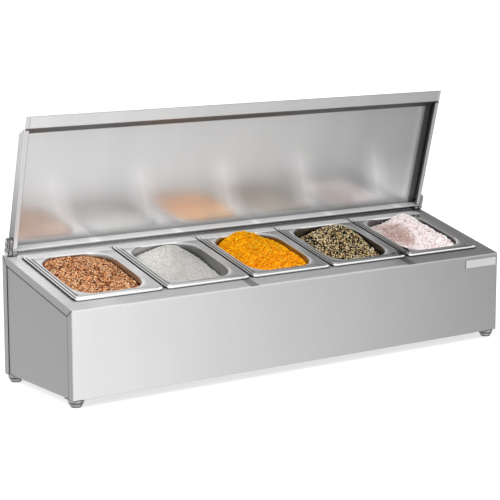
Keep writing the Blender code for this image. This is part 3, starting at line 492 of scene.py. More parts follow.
def steel(name, level, roughness, grain, fade=1.0, streak=0.03, edge=0.0005, metallic=1.0,
          crevice=0.006, crevice_dark=0.35, zones=None, outline=0.0):
    """Brushed steel. grain is the noise's scale along x, y and z, fade the share of the level left at
    the right end as painted shade, outline the width of darker edges, crevice and crevice_dark the
    reach and level of painted shade in creases. zones gives a factor on the level, an addition to
    the roughness, and the metallic value."""
    material, tree, shader = new_material(name)
    coordinates = node(tree, "ShaderNodeTexCoord").outputs
    place = coordinates["Object"]
    x = split(tree, place)[0]
    lines = stretched_noise(tree, place, grain, detail=LINE_DETAIL, roughness=LINE_ROUGHNESS)
    bands = stretched_noise(tree, place, BROAD_BANDS)
    clouds = stretched_noise(tree, place, CLOUDS)
    # Grain and clouds vary the tone at random; the level falling to the right by fade is painted shade
    shade = times(tree, varied(tree, lines, 1.0 - streak, 1.0 + streak),
                  varied(tree, bands, 1.0 - streak * BAND_SHARE, 1.0 + streak * BAND_SHARE),
                  varied(tree, clouds, *CLOUD_LEVELS), across(tree, x, level, level * fade))
    rough = spread_roughness(tree, lines, roughness)
    if zones:
        factor, more, metallic = zones(tree, coordinates)
        shade, rough = times(tree, shade, factor), plus(tree, rough, more)
    if outline:
        turned = node(tree, "ShaderNodeBevel", {"Radius": outline}, samples=EDGE_SAMPLES).outputs[0]
        straight = node(tree, "ShaderNodeNewGeometry").outputs["True Normal"]
        shade = times(tree, shade, mapped(tree, along(tree, turned, straight), *EDGE_LEVEL, smooth=True))
    # Painted shade in creases and hollows
    shade = times(tree, shade, mapped(tree, openness(tree, crevice), *CREVICE_SPAN, crevice_dark, 1.0,
                                      smooth=True))
    feed(tree, shader.inputs["Base Color"], tinted(tree, WHITE, shade))
    feed(tree, shader.inputs["Roughness"], rough)
    feed(tree, shader.inputs["Metallic"], metallic)
    add_bump(tree, shader, lines, STEEL_RELIEF, edge)
    return material


RUBBER_EDGE = 0.0006
SPECK_SIZE, SPECK_LEVELS, SPECK_ROUGHNESS = 1400.0, (0.85, 1.15), (0.28, 0.40)
RUBBER_METALLIC = 0.55
FOOT_HIGHLIGHTS_HEIGHT = 0.0150
FOOT_HIGHLIGHTS = ((0.0, 0.50), (0.14, 0.85), (0.22, 1.9), (0.32, 1.9), (0.38, 0.55), (0.52, 0.60),
              (0.58, 1.7), (0.72, 1.9), (0.86, 0.7))


def rubber(name, colour):
    """Feet: a dull body with a pale top band and a thin pale ring lower down, both painted highlights."""
    material, tree, shader = new_material(name)
    place = node(tree, "ShaderNodeTexCoord").outputs["Object"]
    speck = stretched_noise(tree, place, (SPECK_SIZE,) * 3)
    bands = ramp(tree, math_node(tree, "DIVIDE", split(tree, place)[2], FOOT_HIGHLIGHTS_HEIGHT), FOOT_HIGHLIGHTS)
    tone = times(tree, varied(tree, speck, *SPECK_LEVELS), bands)
    feed(tree, shader.inputs["Base Color"], tinted(tree, (*linear(colour), 1.0), tone))
    feed(tree, shader.inputs["Roughness"], varied(tree, speck, *SPECK_ROUGHNESS))
    feed(tree, shader.inputs["Metallic"], RUBBER_METALLIC)
    add_bump(tree, shader, speck, RUBBER_RELIEF, RUBBER_EDGE)
    return material


# Name, level, roughness and grain, then what differs from the usual
housing_steel = steel("housing_steel", 0.95, 0.28, BRUSHED_LONG, fade=0.73, streak=0.010,
                      crevice=0.0035, crevice_dark=0.16, zones=housing_zones)
# The side panels' lower level is painted shade
side_steel = steel("side_steel", 0.68, 0.34, BRUSHED_DEEP, streak=0.010, crevice=0.004, zones=side_zones)
lid_steel = steel("lid_steel", 0.92, 0.19, BRUSHED_UP, fade=0.65, streak=0.04, zones=lid_zones)
pan_steel = steel("pan_steel", 0.95, 0.11, EVEN_GRAIN, fade=0.48, crevice=0.010, crevice_dark=0.30,
                  zones=pan_zones)
# The hinges' darker edges are painted shade
hinge_steel = steel("hinge_steel", 0.50, 0.24, BRUSHED_UP, outline=0.0028)
fastener_steel = steel("fastener_steel", 0.90, 0.16, EVEN_GRAIN, edge=0.0003)
nut_steel = steel("nut_steel", 0.25, 0.30, EVEN_GRAIN, edge=0.0003)
# Dark back strip: its low level, falling to the right, is painted shadow under the lid's rear skirt
shaded_strip_steel = steel("shaded_strip_steel", 0.52, 0.35, BRUSHED_LONG, fade=0.28)
badge_steel = steel("badge_plate", 0.95, 0.40, BRUSHED_LONG, edge=0.0003, metallic=0.3, outline=0.0016)
foot_rubber = rubber("foot_rubber", "#929294")

# The first start that fits a node's name gives its material
NODE_MATERIALS = (
    ("housing_wrap", housing_steel), ("side_panel", side_steel), ("lid_shell", lid_steel),
    ("pan_", pan_steel), ("hinge_", hinge_steel), ("pivot_bolt", fastener_steel),
    ("arm_screw", fastener_steel), ("arm_nut", nut_steel), ("foot_screw", fastener_steel),
    ("foot_nut", fastener_steel), ("badge_plate", badge_steel), ("foot_", foot_rubber),
)
for name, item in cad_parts.items():
    for start, material in NODE_MATERIALS:
        if name.startswith(start):
            for slot in item.material_slots:
                slot.material = material
            break


# Shapes


def placed(name, data):
    """New object in the scene."""
    made = bpy.data.objects.new(name, data)
    bpy.context.scene.collection.objects.link(made)
    return made


def mesh_of(name, shape):
    """Mesh of a finished bmesh."""
    mesh = bpy.data.meshes.new(name)
    shape.to_mesh(mesh)
    shape.free()
    return mesh


def pan_matrix(index):
    """From a pan's own middle at the deck to the model's frame."""
    return DECK @ Matrix.Translation(((index - PAN_COUNT // 2) * PAN_PITCH, PAN_MIDDLE, 0.0))


def pan_wall(height, inset=0.0):
    """Half sizes and corner radius of a pan's inner wall at a height above the deck."""
    share = min(1.0, max(0.0, (PAN_RIM_HEIGHT - height) / PAN_BODY_DEPTH))
    shrink = PAN_RIM_WIDTH + PAN_TAPER * share + inset
    return PAN_HALF[0] - shrink, PAN_HALF[1] - shrink, MOUTH_RADIUS - RADIUS_TAPER * share - inset


# Pans with a beaded and grooved rim

# Rim from its outer edge inwards: (inset, height above the deck)
RIM_PROFILE = (
    (0.0000, 0.0003), (0.0000, 0.0018), (0.0004, 0.0026), (0.0014, 0.0032), (0.0028, 0.0034),
    (0.0042, 0.0031), (0.0051, 0.0024), (0.0056, 0.0019), (0.0061, 0.0024), (0.0070, 0.0033),
    (0.0084, 0.0038), (0.0098, 0.0036), (0.0110, 0.0029), (0.0118, 0.0024), (0.0124, 0.0022),
    (0.0132, 0.0025), (0.0142, 0.0026), (0.0150, 0.0026), (0.0155, 0.0028), (0.0160, 0.0027),
    (0.0165, 0.0022), (0.0168, 0.0016), (0.0170, 0.0008),
)
RIM_CORNER_RADIUS = 0.010
RIM_RADIUS_FALL = 0.35
# Where the corner radius starts to grow towards the mouth's, over what width, and from what radius
MOUTH_START, MOUTH_WIDTH, MOUTH_START_RADIUS = 0.0136, 0.0034, 0.0053
# The part of the rim that is beaded on two sides and flat on the others
BEADED_INSET, RIM_FLAT = (0.0004, 0.0142), 0.0026
BEAD_END = (0.0110, 0.0050)
BEAD_MITRE = 0.004
SIDE_REACH, CORNER_OVERLAP = 0.03, 0.001
WALL_HEIGHTS = (-0.004, -0.012, -0.030, PAN_FLOOR + FLOOR_ROUND)
FLOOR_STEPS = 5
BELOW_RIM = 0.02


def corner_rectangle(half_x, half_y, radius, corner_steps=12, side_steps=4):
    """Points round a rectangle with round corners, with as many points at any size."""
    points = []
    for quarter, (sign_x, sign_y) in enumerate(((1, 1), (-1, 1), (-1, -1), (1, -1))):
        centre = Vector((sign_x * (half_x - radius), sign_y * (half_y - radius)))
        for step in range(corner_steps + 1):
            angle = (quarter + step / corner_steps) * math.pi / 2
            points.append(centre + radius * Vector((math.cos(angle), math.sin(angle))))
        turn = quarter * math.pi / 2
        ahead = Vector((-math.cos(turn), -math.sin(turn)))
        length = 2 * ((half_x if quarter % 2 == 0 else half_y) - radius)
        corner_end = points[-1]
        for step in range(1, side_steps):
            points.append(corner_end + length * step / side_steps * ahead)
    return points


def smooth_step(share):
    share = min(1.0, max(0.0, share))
    return share * share * (3 - 2 * share)


def beaded(point):
    """1 along the rim's left and front sides, 0 along its right and back sides."""
    from_left, from_right = PAN_HALF[0] + point[0], PAN_HALF[0] - point[0]
    from_back = PAN_HALF[1] - point[1]
    return (smooth_step((from_right - BEAD_END[0]) / BEAD_END[1])
            * smooth_step((from_back - from_left) / BEAD_MITRE))


def rim_radius(inset):
    """Corner radius of the rim at a distance in from its outer edge."""
    if inset < MOUTH_START:
        return RIM_CORNER_RADIUS - RIM_RADIUS_FALL * inset
    grown = ((inset - MOUTH_START) / MOUTH_WIDTH) ** 0.5
    return MOUTH_START_RADIUS + (MOUTH_RADIUS - MOUTH_START_RADIUS) * grown


def pan_rings():
    """Rings of points down the pan, each with its distance in from the rim's outer edge."""
    rings = []
    for inset, height in RIM_PROFILE:
        ring = []
        for p in corner_rectangle(PAN_HALF[0] - inset, PAN_HALF[1] - inset, rim_radius(inset)):
            raised = height
            if BEADED_INSET[0] < inset < BEADED_INSET[1]:
                raised = RIM_FLAT + (height - RIM_FLAT) * beaded(p)
            ring.append((p.x, p.y, raised))
        rings.append((inset, ring))
    for height in WALL_HEIGHTS:
        rings.append((BELOW_RIM, [(p.x, p.y, height) for p in corner_rectangle(*pan_wall(height))]))
    foot = pan_wall(PAN_FLOOR + FLOOR_ROUND)
    for step in range(1, FLOOR_STEPS + 1):
        angle = step / FLOOR_STEPS * math.pi / 2
        inset, drop = FLOOR_ROUND * (1 - math.cos(angle)), FLOOR_ROUND * math.sin(angle)
        sizes = [size - inset for size in foot]
        height = PAN_FLOOR + FLOOR_ROUND - drop
        rings.append((BELOW_RIM, [(p.x, p.y, height) for p in corner_rectangle(*sizes)]))
    return rings


def pan_surface(rings):
    """Open surface through the rings, closed at the floor, with its normals up and inwards."""
    shape = bmesh.new()
    made = [[shape.verts.new(point) for point in ring] for _, ring in rings]
    for outer, inner in zip(made, made[1:]):
        for i, start in enumerate(outer):
            j = (i + 1) % len(outer)
            shape.faces.new((start, outer[j], inner[j], inner[i]))
    shape.faces.new(made[-1])
    bmesh.ops.recalc_face_normals(shape, faces=shape.faces)
    if made[-1][0].link_faces[0].normal.z < 0:
        bmesh.ops.reverse_faces(shape, faces=shape.faces)
    mesh = mesh_of("pan_shell", shape)
    mesh.shade_smooth()
    return mesh


def make_pans(material):
    """Five sheet pans, with the place on the rim stored for the material."""
    rings = pan_rings()
    template = pan_surface(rings)
    insets, lefts, fronts = [], [], []
    for inset, ring in rings:
        for point in ring:
            from_left, from_right = PAN_HALF[0] + point[0], PAN_HALF[0] - point[0]
            from_front = PAN_HALF[1] + point[1]
            insets.append(inset)
            lefts.append(beaded(point) if from_left < min(from_front, SIDE_REACH) else 0.0)
            ahead = from_front <= min(from_left, SIDE_REACH, from_right + CORNER_OVERLAP)
            fronts.append(1.0 if ahead else 0.0)
    for name, values in (("inset", insets), ("left", lefts), ("front", fronts)):
        template.attributes.new(name, "FLOAT", "POINT").data.foreach_set("value", values)
    for index in range(PAN_COUNT):
        mesh = template.copy()
        mesh.name = f"pan_shell_{index + 1}"
        mesh.transform(pan_matrix(index))
        mesh.materials.append(material)
        pan = placed(f"pan_shell_{index + 1}", mesh)
        shell = pan.modifiers.new("sheet", "SOLIDIFY")
        shell.thickness = PAN_SHEET
        shell.offset = -1.0
        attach(pan, f"pan_body_{index + 1}")
        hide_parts(f"pan_{index + 1}")


# Spices

# Heights above the deck in metres; place and spread as shares of the pan's half sizes
HEAPS = (
    {"edge": -0.0034, "front_drop": 0.0030, "right_rise": -0.0030, "peak": 0.0045,
     "place": (0.00, 0.35), "spread": (0.60, 0.90), "clump": 0.0005},
    {"edge": -0.0143, "front_drop": 0.0030, "right_rise": -0.0021, "peak": 0.0090,
     "place": (0.21, 0.77), "spread": (0.62, 0.74), "clump": 0.0},
    {"edge": -0.0095, "front_drop": 0.0020, "right_rise": 0.0045, "peak": 0.0190,
     "place": (-0.08, 0.90), "spread": (0.62, 0.50), "clump": 0.0010},
    {"edge": -0.0130, "front_drop": 0.0060, "right_rise": 0.0054, "peak": 0.0110,
     "place": (0.36, 0.51), "spread": (0.67, 0.72), "clump": 0.0006},
    {"edge": -0.0085, "front_drop": 0.0010, "right_rise": 0.0044, "peak": 0.0135,
     "place": (0.34, 0.62), "spread": (0.38, 0.90), "clump": 0.0006},
)
CLUMP_WAVES, CLUMP_SHIFT = 3.5, 1
BORDER_FALL, BORDER_SQUARENESS, BORDER_SHARPNESS = 0.5, 4, 1.5
# Heights above the deck where the easing under the shut lid starts, and its limit
LID_HEADROOM = (0.0137, 0.0165)
# Relief is (height, cells per metre) of each octave of the loose surface
SURFACES = (
    {"spacing": 0.0026, "relief": ((0.0007, 120.0), (0.0004, 320.0))},
    {"spacing": 0.0019, "relief": ((0.0003, 90.0), (0.0004, 420.0))},
    {"spacing": 0.0012, "relief": ((0.0017, 80.0), (0.0017, 180.0), (0.0009, 460.0))},
    {"spacing": 0.0026, "relief": ((0.0006, 110.0), (0.0004, 320.0))},
    {"spacing": 0.0022, "relief": ((0.0008, 100.0), (0.0006, 300.0))},
)
RELIEF_SHIFT = 7.7
GRID_JITTER, GRID_MARGIN = 0.35, 0.6
BORDER_POINTS = 150
# Triangles inside the border only, with points this close taken as one
INSIDE_ONLY, MERGE_DISTANCE = 1, 1e-7
# Half sizes of the grains; tilt is how far they lean, in radians
GRAINS = (
    {"count": 4600, "size": (0.0021, 0.0012, 0.0009), "vary": 0.35, "shape": "chip", "tilt": 0.9},
    {"count": 5200, "size": (0.0008, 0.0008, 0.0007), "vary": 0.40, "shape": "crystal", "tilt": 3.0},
    {"count": 1500, "size": (0.0028, 0.0011, 0.0010), "vary": 0.60, "shape": "lump", "tilt": 0.9},
    {"count": 4600, "size": (0.0022, 0.0015, 0.0012), "vary": 0.45, "shape": "chip", "tilt": 1.5},
    {"count": 3000, "size": (0.0017, 0.0015, 0.0013), "vary": 0.50, "shape": "crystal", "tilt": 3.0},
)
NORMAL_SHARE = 0.5
GRAIN_JITTER = 0.16
GRAIN_SINK, GRAIN_RISE = -0.2, 0.8
CRYSTAL_SIZE = 0.8
FIRST_SEED = 40
BODY_TONES = (0.0, 0.40)


def rounded_rectangle(half_x, half_y, radius, count):
    """Points at even steps round a rectangle with round corners."""
    straight = [2 * (half_y - radius), 2 * (half_x - radius)] * 2
    arc = radius * math.pi / 2
    total = sum(straight) + 4 * arc
    corners = ((1, 1), (-1, 1), (-1, -1), (1, -1))
    points = []
    for step in range(count):
        run = total * step / count
        quarter = 0
        while run >= straight[quarter] + arc:
            run -= straight[quarter] + arc
            quarter += 1
        sign_x, sign_y = corners[quarter]
        centre = Vector((sign_x * (half_x - radius), sign_y * (half_y - radius)))
        turn = quarter * math.pi / 2
        out = Vector((math.cos(turn), math.sin(turn)))
        ahead = Vector((-out.y, out.x))
        if run < straight[quarter]:
            points.append(centre + out * radius - ahead * (straight[quarter] - run))
        else:
            angle = turn + (run - straight[quarter]) / radius
            points.append(centre + radius * Vector((math.cos(angle), math.sin(angle))))
    return points


def heap_height(heap, x, y):
    """Height of the spice above the deck at a place measured from the pan's middle."""
    half_x, half_y = pan_wall(PAN_RIM_HEIGHT)[:2]
    sx, sy = x / half_x, y / half_y
    (place_x, place_y), (spread_x, spread_y) = heap["place"], heap["spread"]
    away = ((sx - place_x) / spread_x) ** 2 + ((sy - place_y) / spread_y) ** 2
    border = np.minimum(1.0, sx ** BORDER_SQUARENESS + sy ** BORDER_SQUARENESS) ** BORDER_SHARPNESS
    rise = (heap["peak"] - heap["edge"]) * (1 - BORDER_FALL * border)
    tilt = heap["right_rise"] * sx - heap["front_drop"] * (1 - sy) / 2
    clump = np.sin(CLUMP_WAVES * np.pi * sx + CLUMP_SHIFT) * np.cos(CLUMP_WAVES * np.pi * sy)
    return heap["edge"] + tilt + rise * np.exp(-away) + heap["clump"] * clump


def below_lid(height):
    """Heights with a heap's top eased down, so that the shut lid clears it."""
    start, limit = LID_HEADROOM
    room = limit - start
    return np.where(height > start, start + room * np.tanh((height - start) / room), height)


def inside_wall(x, y, margin):
    """Whether places at the deck lie inside the pan's mouth by at least a margin."""
    half_x, half_y, radius = pan_wall(0.0, margin)
    dx, dy = np.maximum(np.abs(x) - half_x + radius, 0), np.maximum(np.abs(y) - half_y + radius, 0)
    return (np.hypot(dx, dy) < radius) & (np.abs(x) < half_x) & (np.abs(y) < half_y)


def relief_at(surface, x, y, seed):
    """Height of the loose surface's lumps at a place."""
    total = 0.0
    for height, cells in surface["relief"]:
        total += height * noise.noise(Vector((x * cells, y * cells, seed * RELIEF_SHIFT)))
    return total


def heap_body(index, rng):
    """Vertices and faces of the closed heap in the pan: loose top, walls and floor."""
    heap, surface = HEAPS[index], SURFACES[index]
    border = rounded_rectangle(*pan_wall(0.0, SPICE_CLEARANCE), BORDER_POINTS)
    spacing = surface["spacing"]
    half_x, half_y = pan_wall(0.0)[:2]
    xs, ys = np.meshgrid(np.arange(-half_x, half_x, spacing), np.arange(-half_y, half_y, spacing))
    xs = xs.ravel() + rng.uniform(-GRID_JITTER, GRID_JITTER, xs.size) * spacing
    ys = ys.ravel() + rng.uniform(-GRID_JITTER, GRID_JITTER, ys.size) * spacing
    keep = inside_wall(xs, ys, SPICE_CLEARANCE + spacing * GRID_MARGIN)
    flat = border + [Vector((x, y)) for x, y in zip(xs[keep], ys[keep])]
    ring = [(i, (i + 1) % len(border)) for i in range(len(border))]
    places, _, faces, origins, _, _ = geometry.delaunay_2d_cdt(flat, ring, [], INSIDE_ONLY, MERGE_DISTANCE)
    order = {source[0]: i for i, source in enumerate(origins) if source}
    verts = []
    for place in places:
        height = float(heap_height(heap, place.x, place.y)) + relief_at(surface, place.x, place.y, index)
        verts.append((place.x, place.y, float(below_lid(height))))
    floor = PAN_FLOOR + SPICE_CLEARANCE
    last = [order[i] for i in range(len(border))]
    part = FLOOR_ROUND * (1 - math.sqrt(0.5))
    for inset, height in ((0.0, floor + FLOOR_ROUND), (part, floor + part), (FLOOR_ROUND, floor)):
        wall = [size - inset for size in pan_wall(floor + FLOOR_ROUND, SPICE_CLEARANCE)]
        fresh = list(range(len(verts), len(verts) + len(border)))
        verts.extend((p.x, p.y, height) for p in rounded_rectangle(*wall, len(border)))
        for i in range(len(border)):
            j = (i + 1) % len(border)
            faces.append((last[j], last[i], fresh[i], fresh[j]))
        last = fresh
    faces.append(tuple(last[::-1]))
    return verts, [tuple(face) for face in faces]


def lump_shape():
    """Points and faces of a coarse ball."""
    shape = bmesh.new()
    bmesh.ops.create_icosphere(shape, subdivisions=1, radius=1.0)
    verts = [tuple(v.co) for v in shape.verts]
    faces = [tuple(v.index for v in f.verts) for f in shape.faces]
    shape.free()
    return verts, faces


# Points and faces of a grain before it is scaled and turned
SHAPES = {
    "chip": ([(1, 0, 0), (-1, 0, 0), (0, 1, 0), (0, -1, 0), (0, 0, 1), (0, 0, -1)],
             [(0, 2, 4), (2, 1, 4), (1, 3, 4), (3, 0, 4), (2, 0, 5), (1, 2, 5), (3, 1, 5), (0, 3, 5)]),
    "crystal": ([(-1, -1, -1), (1, -1, -1), (1, 1, -1), (-1, 1, -1),
                 (-1, -1, 1), (1, -1, 1), (1, 1, 1), (-1, 1, 1)],
                [(0, 3, 2, 1), (4, 5, 6, 7), (0, 1, 5, 4), (1, 2, 6, 5), (2, 3, 7, 6), (3, 0, 4, 7)]),
    "lump": lump_shape(),
}


def rotations(rng, count, tilt):
    """Turn matrices: any heading, leaning by up to about tilt."""
    heading = rng.uniform(0, 2 * np.pi, count)
    lean = rng.normal(0, 1, (count, 2)) * tilt * NORMAL_SHARE
    made = np.empty((count, 3, 3))
    for i in range(count):
        made[i] = (Matrix.Rotation(lean[i, 0], 3, "X") @ Matrix.Rotation(lean[i, 1], 3, "Y")
                   @ Matrix.Rotation(heading[i], 3, "Z"))
    return made


def heap_grains(index, rng):
    """Vertices of all loose grains on the heap, the faces of one grain, and their number."""
    heap, surface, kind = HEAPS[index], SURFACES[index], GRAINS[index]
    half_x, half_y = pan_wall(0.0)[:2]
    longest = max(kind["size"]) * (1 + kind["vary"])
    xs = rng.uniform(-half_x, half_x, kind["count"] * 2)
    ys = rng.uniform(-half_y, half_y, kind["count"] * 2)
    keep = inside_wall(xs, ys, SPICE_CLEARANCE + longest)
    xs, ys = xs[keep][:kind["count"]], ys[keep][:kind["count"]]
    count = len(xs)
    heights = heap_height(heap, xs, ys)
    heights = heights + np.array([relief_at(surface, x, y, index) for x, y in zip(xs, ys)])
    scale = np.array(kind["size"]) * np.exp(rng.normal(0, kind["vary"] * NORMAL_SHARE, (count, 3)))
    scale = np.minimum(scale, longest)
    heights = heights + scale[:, 2] * rng.uniform(GRAIN_SINK, GRAIN_RISE, count)
    verts, faces = SHAPES[kind["shape"]]
    base = np.array(verts, float)
    base = base / np.abs(base).max() if kind["shape"] != "crystal" else base * CRYSTAL_SIZE
    jitter = 1 + rng.normal(0, GRAIN_JITTER, (count, len(base), 3))
    shaped = base[None] * jitter * scale[:, None, :]
    turned = np.einsum("nij,nkj->nki", rotations(rng, count, kind["tilt"]), shaped)
    settled = turned + np.stack([xs, ys, heights], axis=1)[:, None, :]
    settled[..., 2] = below_lid(settled[..., 2])
    return settled.reshape(-1, 3), faces, count


def make_spice(index, material):
    """One pan's heap with its loose grains, with a tone for each grain stored for the material."""
    rng = np.random.default_rng(FIRST_SEED + index)
    body_verts, body_faces = heap_body(index, rng)
    grain_verts, grain_faces, count = heap_grains(index, rng)
    grain_tones = rng.uniform(0, 1, count)
    per = len(grain_verts) // count
    start = len(body_verts)
    faces = body_faces + [tuple(start + i * per + v for v in face)
                          for i in range(count) for face in grain_faces]
    mesh = bpy.data.meshes.new(f"spice_heap_{index + 1}")
    mesh.from_pydata(body_verts + [tuple(v) for v in grain_verts], [], faces)
    body_tones = rng.uniform(*BODY_TONES, start)
    tones = np.concatenate([body_tones, np.repeat(grain_tones, per)]).astype(np.float32)
    mesh.attributes.new("tone", "FLOAT", "POINT").data.foreach_set("value", tones)
    mesh.transform(pan_matrix(index))
    mesh.validate()
    smooth = np.zeros(len(mesh.polygons), bool)
    smooth[:len(body_faces)] = True
    if GRAINS[index]["shape"] == "lump":
        smooth[:] = True
    mesh.polygons.foreach_set("use_smooth", smooth)
    mesh.materials.append(material)
    item = placed(f"spice_heap_{index + 1}", mesh)
    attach(item, f"pan_body_{index + 1}")
    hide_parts(f"spice_{index + 1}")


HOLLOW_REACH, HOLLOW_SPAN = 0.0022, (0.25, 0.95)
FINE_DETAIL, BROAD_PATCHES, SPICE_BUMP = 3.0, 45.0, 0.5
FINE_TONES, BROAD_TONES = (-0.12, 0.12), (-0.10, 0.10)


def spice_material(name, stops, hollows, roughness, speck=900.0, relief=0.0003, specular=0.5, shade=None):
    """Grains coloured by their tone. stops run from the darkest grain to the palest, hollows is the
    colour of the painted shade between grains, speck the noise's scale, and shade gives one more tint by
    place."""
    material, tree, shader = new_material(name)
    place = node(tree, "ShaderNodeTexCoord").outputs["Object"]
    fine = stretched_noise(tree, place, (speck,) * 3, detail=FINE_DETAIL)
    broad = stretched_noise(tree, place, (BROAD_PATCHES,) * 3)
    tone = plus(tree, attribute(tree, "tone"), varied(tree, fine, *FINE_TONES))
    tone = math_node(tree, "ADD", tone, varied(tree, broad, *BROAD_TONES), clamp=True)
    # Painted shade in the hollows between grains
    gaps = ramp(tree, openness(tree, HOLLOW_REACH), zip(HOLLOW_SPAN, (hollows, "#FFFFFF")))
    colour = tinted(tree, ramp(tree, tone, stops), gaps)
    if shade:
        colour = tinted(tree, colour, shade(tree, place))
    feed(tree, shader.inputs["Base Color"], colour)
    feed(tree, shader.inputs["Roughness"], spread_roughness(tree, fine, roughness))
    feed(tree, shader.inputs["Specular IOR Level"], specular)
    add_bump(tree, shader, fine, (SPICE_BUMP, relief))
    return material


SALT_SLANT = 0.8
SALT_SHADE = (-0.085, 0.010, 1.0, 0.78)
PINK_PATCH, PINK_PATCH_SIZE = (0.306, 0.130), (0.029, 0.056)
PINK_NOISE, PINK_VARY = 90.0, (-0.25, 0.25)
PINK_STOPS = ((0.0, "#CBB6AF"), (0.5, "#E2D5D0"), (1.0, "#FFFFFF"))
TURMERIC_SPAN = (0.090, 0.165, 0.0, 1.0)
TURMERIC_FRONT, TURMERIC_BACK = (1.0, 0.97, 1.0, 1.0), (1.0, 1.10, 0.85, 1.0)


def salt_shade(tree, place):
    """Painted light and shade: paler to the left and back of the heap, greyer to the right and front."""
    ahead = minus(tree, deck_place(tree, place)[0], PAN_MIDDLE)
    x = plus(tree, split(tree, place)[0], PAN_PITCH)
    return mapped(tree, minus(tree, x, times(tree, ahead, SALT_SLANT)), *SALT_SHADE, smooth=True)


def turmeric_shade(tree, place):
    """A little yellower towards the heap's top."""
    share = mapped(tree, deck_place(tree, place)[0], *TURMERIC_SPAN, smooth=True)
    return mixed_colour(tree, share, TURMERIC_FRONT, TURMERIC_BACK)


def pink_shade(tree, place):
    """Painted shadow: a darker patch at the left of the pink salt."""
    x, up_slope = split(tree, place)[0], deck_place(tree, place)[0]
    dx = math_node(tree, "DIVIDE", minus(tree, x, PINK_PATCH[0]), PINK_PATCH_SIZE[0])
    dy = math_node(tree, "DIVIDE", minus(tree, up_slope, PINK_PATCH[1]), PINK_PATCH_SIZE[1])
    away = plus(tree, times(tree, dx, dx), times(tree, dy, dy))
    patchy = varied(tree, stretched_noise(tree, place, (PINK_NOISE,) * 3), *PINK_VARY)
    return ramp(tree, plus(tree, away, patchy), PINK_STOPS)


CHILLI_STOPS = ((0.0, "#341206"), (0.22, "#843C1C"), (0.34, "#EC9C5E"), (0.70, "#FFCC94"), (1.0, "#FFE8C0"))
SALT_STOPS = ((0.0, "#E0DED9"), (0.5, "#F1EFEB"), (1.0, "#FFFFFD"))
TURMERIC_STOPS = ((0.0, "#EE940E"), (0.30, "#FFB012"), (0.60, "#FFC422"), (1.0, "#FFD840"))
PEPPER_STOPS = ((0.0, "#0A0706"), (0.38, "#1C140E"), (0.44, "#8A6C40"), (0.58, "#DABC7C"),
                (0.80, "#F8E2B0"), (1.0, "#FFF6DA"))
PINK_SALT_STOPS = ((0.0, "#D6BEB9"), (0.16, "#F2E6E4"), (0.45, "#FFFAFA"), (1.0, "#FFFFFF"))

SPICE_MATERIALS = (
    spice_material("chilli", CHILLI_STOPS, "#B87A5C", roughness=0.55, specular=0.3),
    spice_material("white_salt", SALT_STOPS, "#ECEBE8", roughness=0.5, speck=1100.0, shade=salt_shade),
    spice_material("turmeric", TURMERIC_STOPS, "#DA822A", roughness=0.9, speck=1300.0, relief=0.0004,
                   specular=0.05, shade=turmeric_shade),
    spice_material("pepper_mix", PEPPER_STOPS, "#988878", roughness=0.6, specular=0.3),
    spice_material("pink_salt", PINK_SALT_STOPS, "#EEE2DF", roughness=0.30, shade=pink_shade),
)
make_pans(pan_steel)
for index, material in enumerate(SPICE_MATERIALS):
    make_spice(index, material)


# Strip along the back of the deck, under the open lid's rear skirt, in deck coordinates; its dark steel is
# painted shadow

STRIP_LOW, STRIP_HIGH = (-0.4195, 0.2196, -0.0002), (0.4195, 0.2206, 0.0044)
STRIP_BEVEL = 0.0003


def make_strip(material):
    """Thin bar with rounded edges."""
    shape = bmesh.new()
    bmesh.ops.create_cube(shape, size=1.0)
    low, high = Vector(STRIP_LOW), Vector(STRIP_HIGH)
    bmesh.ops.scale(shape, vec=high - low, verts=shape.verts)
    bmesh.ops.translate(shape, vec=(low + high) / 2, verts=shape.verts)
    bmesh.ops.bevel(shape, geom=list(shape.edges), offset=STRIP_BEVEL, segments=2, profile=0.5,
                    affect="EDGES")
    bmesh.ops.transform(shape, matrix=DECK, verts=shape.verts)
    mesh = mesh_of("deck_back_strip", shape)
    mesh.materials.append(material)
    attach(placed("deck_back_strip", mesh), "housing")


make_strip(shaded_strip_steel)


# Floor, light and camera

FLOOR_HALF = 30.0
FLOOR_Z = -0.0002
FLOOR_NOISE, FLOOR_SHADES, FLOOR_GLOW = 0.8, (0.40, 0.42), 0.72
# The studio by direction: levels from left to right, a brighter top, and a dark flag above the horizon
TENT_STOPS = ((0.0, 0.42), (0.24, 0.50), (0.44, 1.0), (0.735, 1.0), (0.86, 0.30), (1.0, 0.20))
OVERHEAD = (0.62, 0.85, 1.0, 1.15)
FLAG_WAY = Vector((-0.60, 0.80, 0.10)).normalized()
FLAG_LEVEL = (0.80, 0.95, 1.0, 0.30)
FLAG_END = (-0.12, 0.0, 1.0, 0.0)
PLAIN_LIGHT = (0.80, 0.80, 0.81, 1.0)
KEY_STRENGTH, KEY_ANGLE, KEY_WAY = 1.9, 35.0, (0.80, 0.15, -0.62)
LENS, SENSOR, CLIP_END = 124.625, 36.0, 100.0
CAMERA_PLACE = (-1.66966, -2.30009, 0.68147)
CAMERA_DOWN, CAMERA_TURN = 9.9431, -35.5073


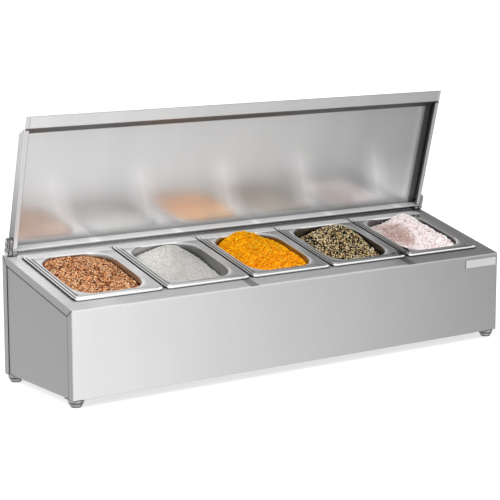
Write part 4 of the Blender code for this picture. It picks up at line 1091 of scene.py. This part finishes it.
def make_floor():
    """Large floor that takes the object's shadow and looks near white."""
    material, tree, shader = new_material("floor")
    tree.nodes.remove(shader)
    place = node(tree, "ShaderNodeTexCoord").outputs["Object"]
    shade = varied(tree, stretched_noise(tree, place, (FLOOR_NOISE,) * 3), *FLOOR_SHADES)
    diffuse = node(tree, "ShaderNodeBsdfDiffuse", {"Color": tinted(tree, WHITE, shade)})
    path = node(tree, "ShaderNodeLightPath").outputs
    seen = math_node(tree, "MAXIMUM", path["Is Camera Ray"],
                     math_node(tree, "MAXIMUM", path["Is Glossy Ray"], path["Is Transmission Ray"]))
    glow = node(tree, "ShaderNodeEmission", {"Color": WHITE, "Strength": times(tree, seen, FLOOR_GLOW)})
    both = node(tree, "ShaderNodeAddShader", {0: diffuse.outputs[0], 1: glow.outputs[0]})
    feed(tree, tree.nodes["Material Output"].inputs["Surface"], both.outputs[0])
    shape = bmesh.new()
    bmesh.ops.create_grid(shape, x_segments=2, y_segments=2, size=FLOOR_HALF)
    mesh = mesh_of("floor", shape)
    mesh.materials.append(material)
    floor = placed("floor", mesh)
    floor.location = (0.0, 0.0, FLOOR_Z)
    floor.visible_glossy = False


def make_world():
    """White to the camera, plain light on the object, and a studio in what the steel mirrors."""
    world = bpy.data.worlds.new("studio")
    world.use_nodes = True
    bpy.context.scene.world = world
    tree = world.node_tree
    way = node(tree, "ShaderNodeTexCoord").outputs["Generated"]
    x, _, z = split(tree, way)
    tent = ramp(tree, mapped(tree, x, -1.0, 1.0, 0.0, 1.0), TENT_STOPS)
    overhead = mapped(tree, z, *OVERHEAD, smooth=True)
    flag = mapped(tree, along(tree, way, FLAG_WAY), *FLAG_LEVEL, smooth=True)
    flag = math_node(tree, "MAXIMUM", flag, mapped(tree, z, *FLAG_END))
    tent = tinted(tree, tent, times(tree, overhead, flag))
    path = node(tree, "ShaderNodeLightPath").outputs
    mirrored = math_node(tree, "MAXIMUM", path["Is Glossy Ray"], path["Is Transmission Ray"])
    around = mixed_colour(tree, mirrored, PLAIN_LIGHT, tent)
    back = tree.nodes["Background"]
    feed(tree, back.inputs["Color"], mixed_colour(tree, path["Is Camera Ray"], around, WHITE))
    feed(tree, back.inputs["Strength"], 1.0)


def make_key_light():
    """Broad sun from the upper left, not mirrored in the steel."""
    light = bpy.data.lights.new("key", "SUN")
    light.energy = KEY_STRENGTH
    light.angle = math.radians(KEY_ANGLE)
    key = placed("key", light)
    key.rotation_euler = Vector(KEY_WAY).to_track_quat("-Z", "Y").to_euler()
    key.visible_glossy = False


def make_camera():
    """Camera at the photo's place, looking a little down."""
    data = bpy.data.cameras.new("camera")
    data.sensor_width = SENSOR
    data.lens = LENS
    data.clip_end = CLIP_END
    camera = placed("camera", data)
    camera.location = CAMERA_PLACE
    camera.rotation_euler = (math.radians(90.0 - CAMERA_DOWN), 0.0, math.radians(CAMERA_TURN))
    bpy.context.scene.camera = camera


make_floor()
make_world()
make_key_light()
make_camera()
bpy.context.scene.view_settings.view_transform = "Standard"
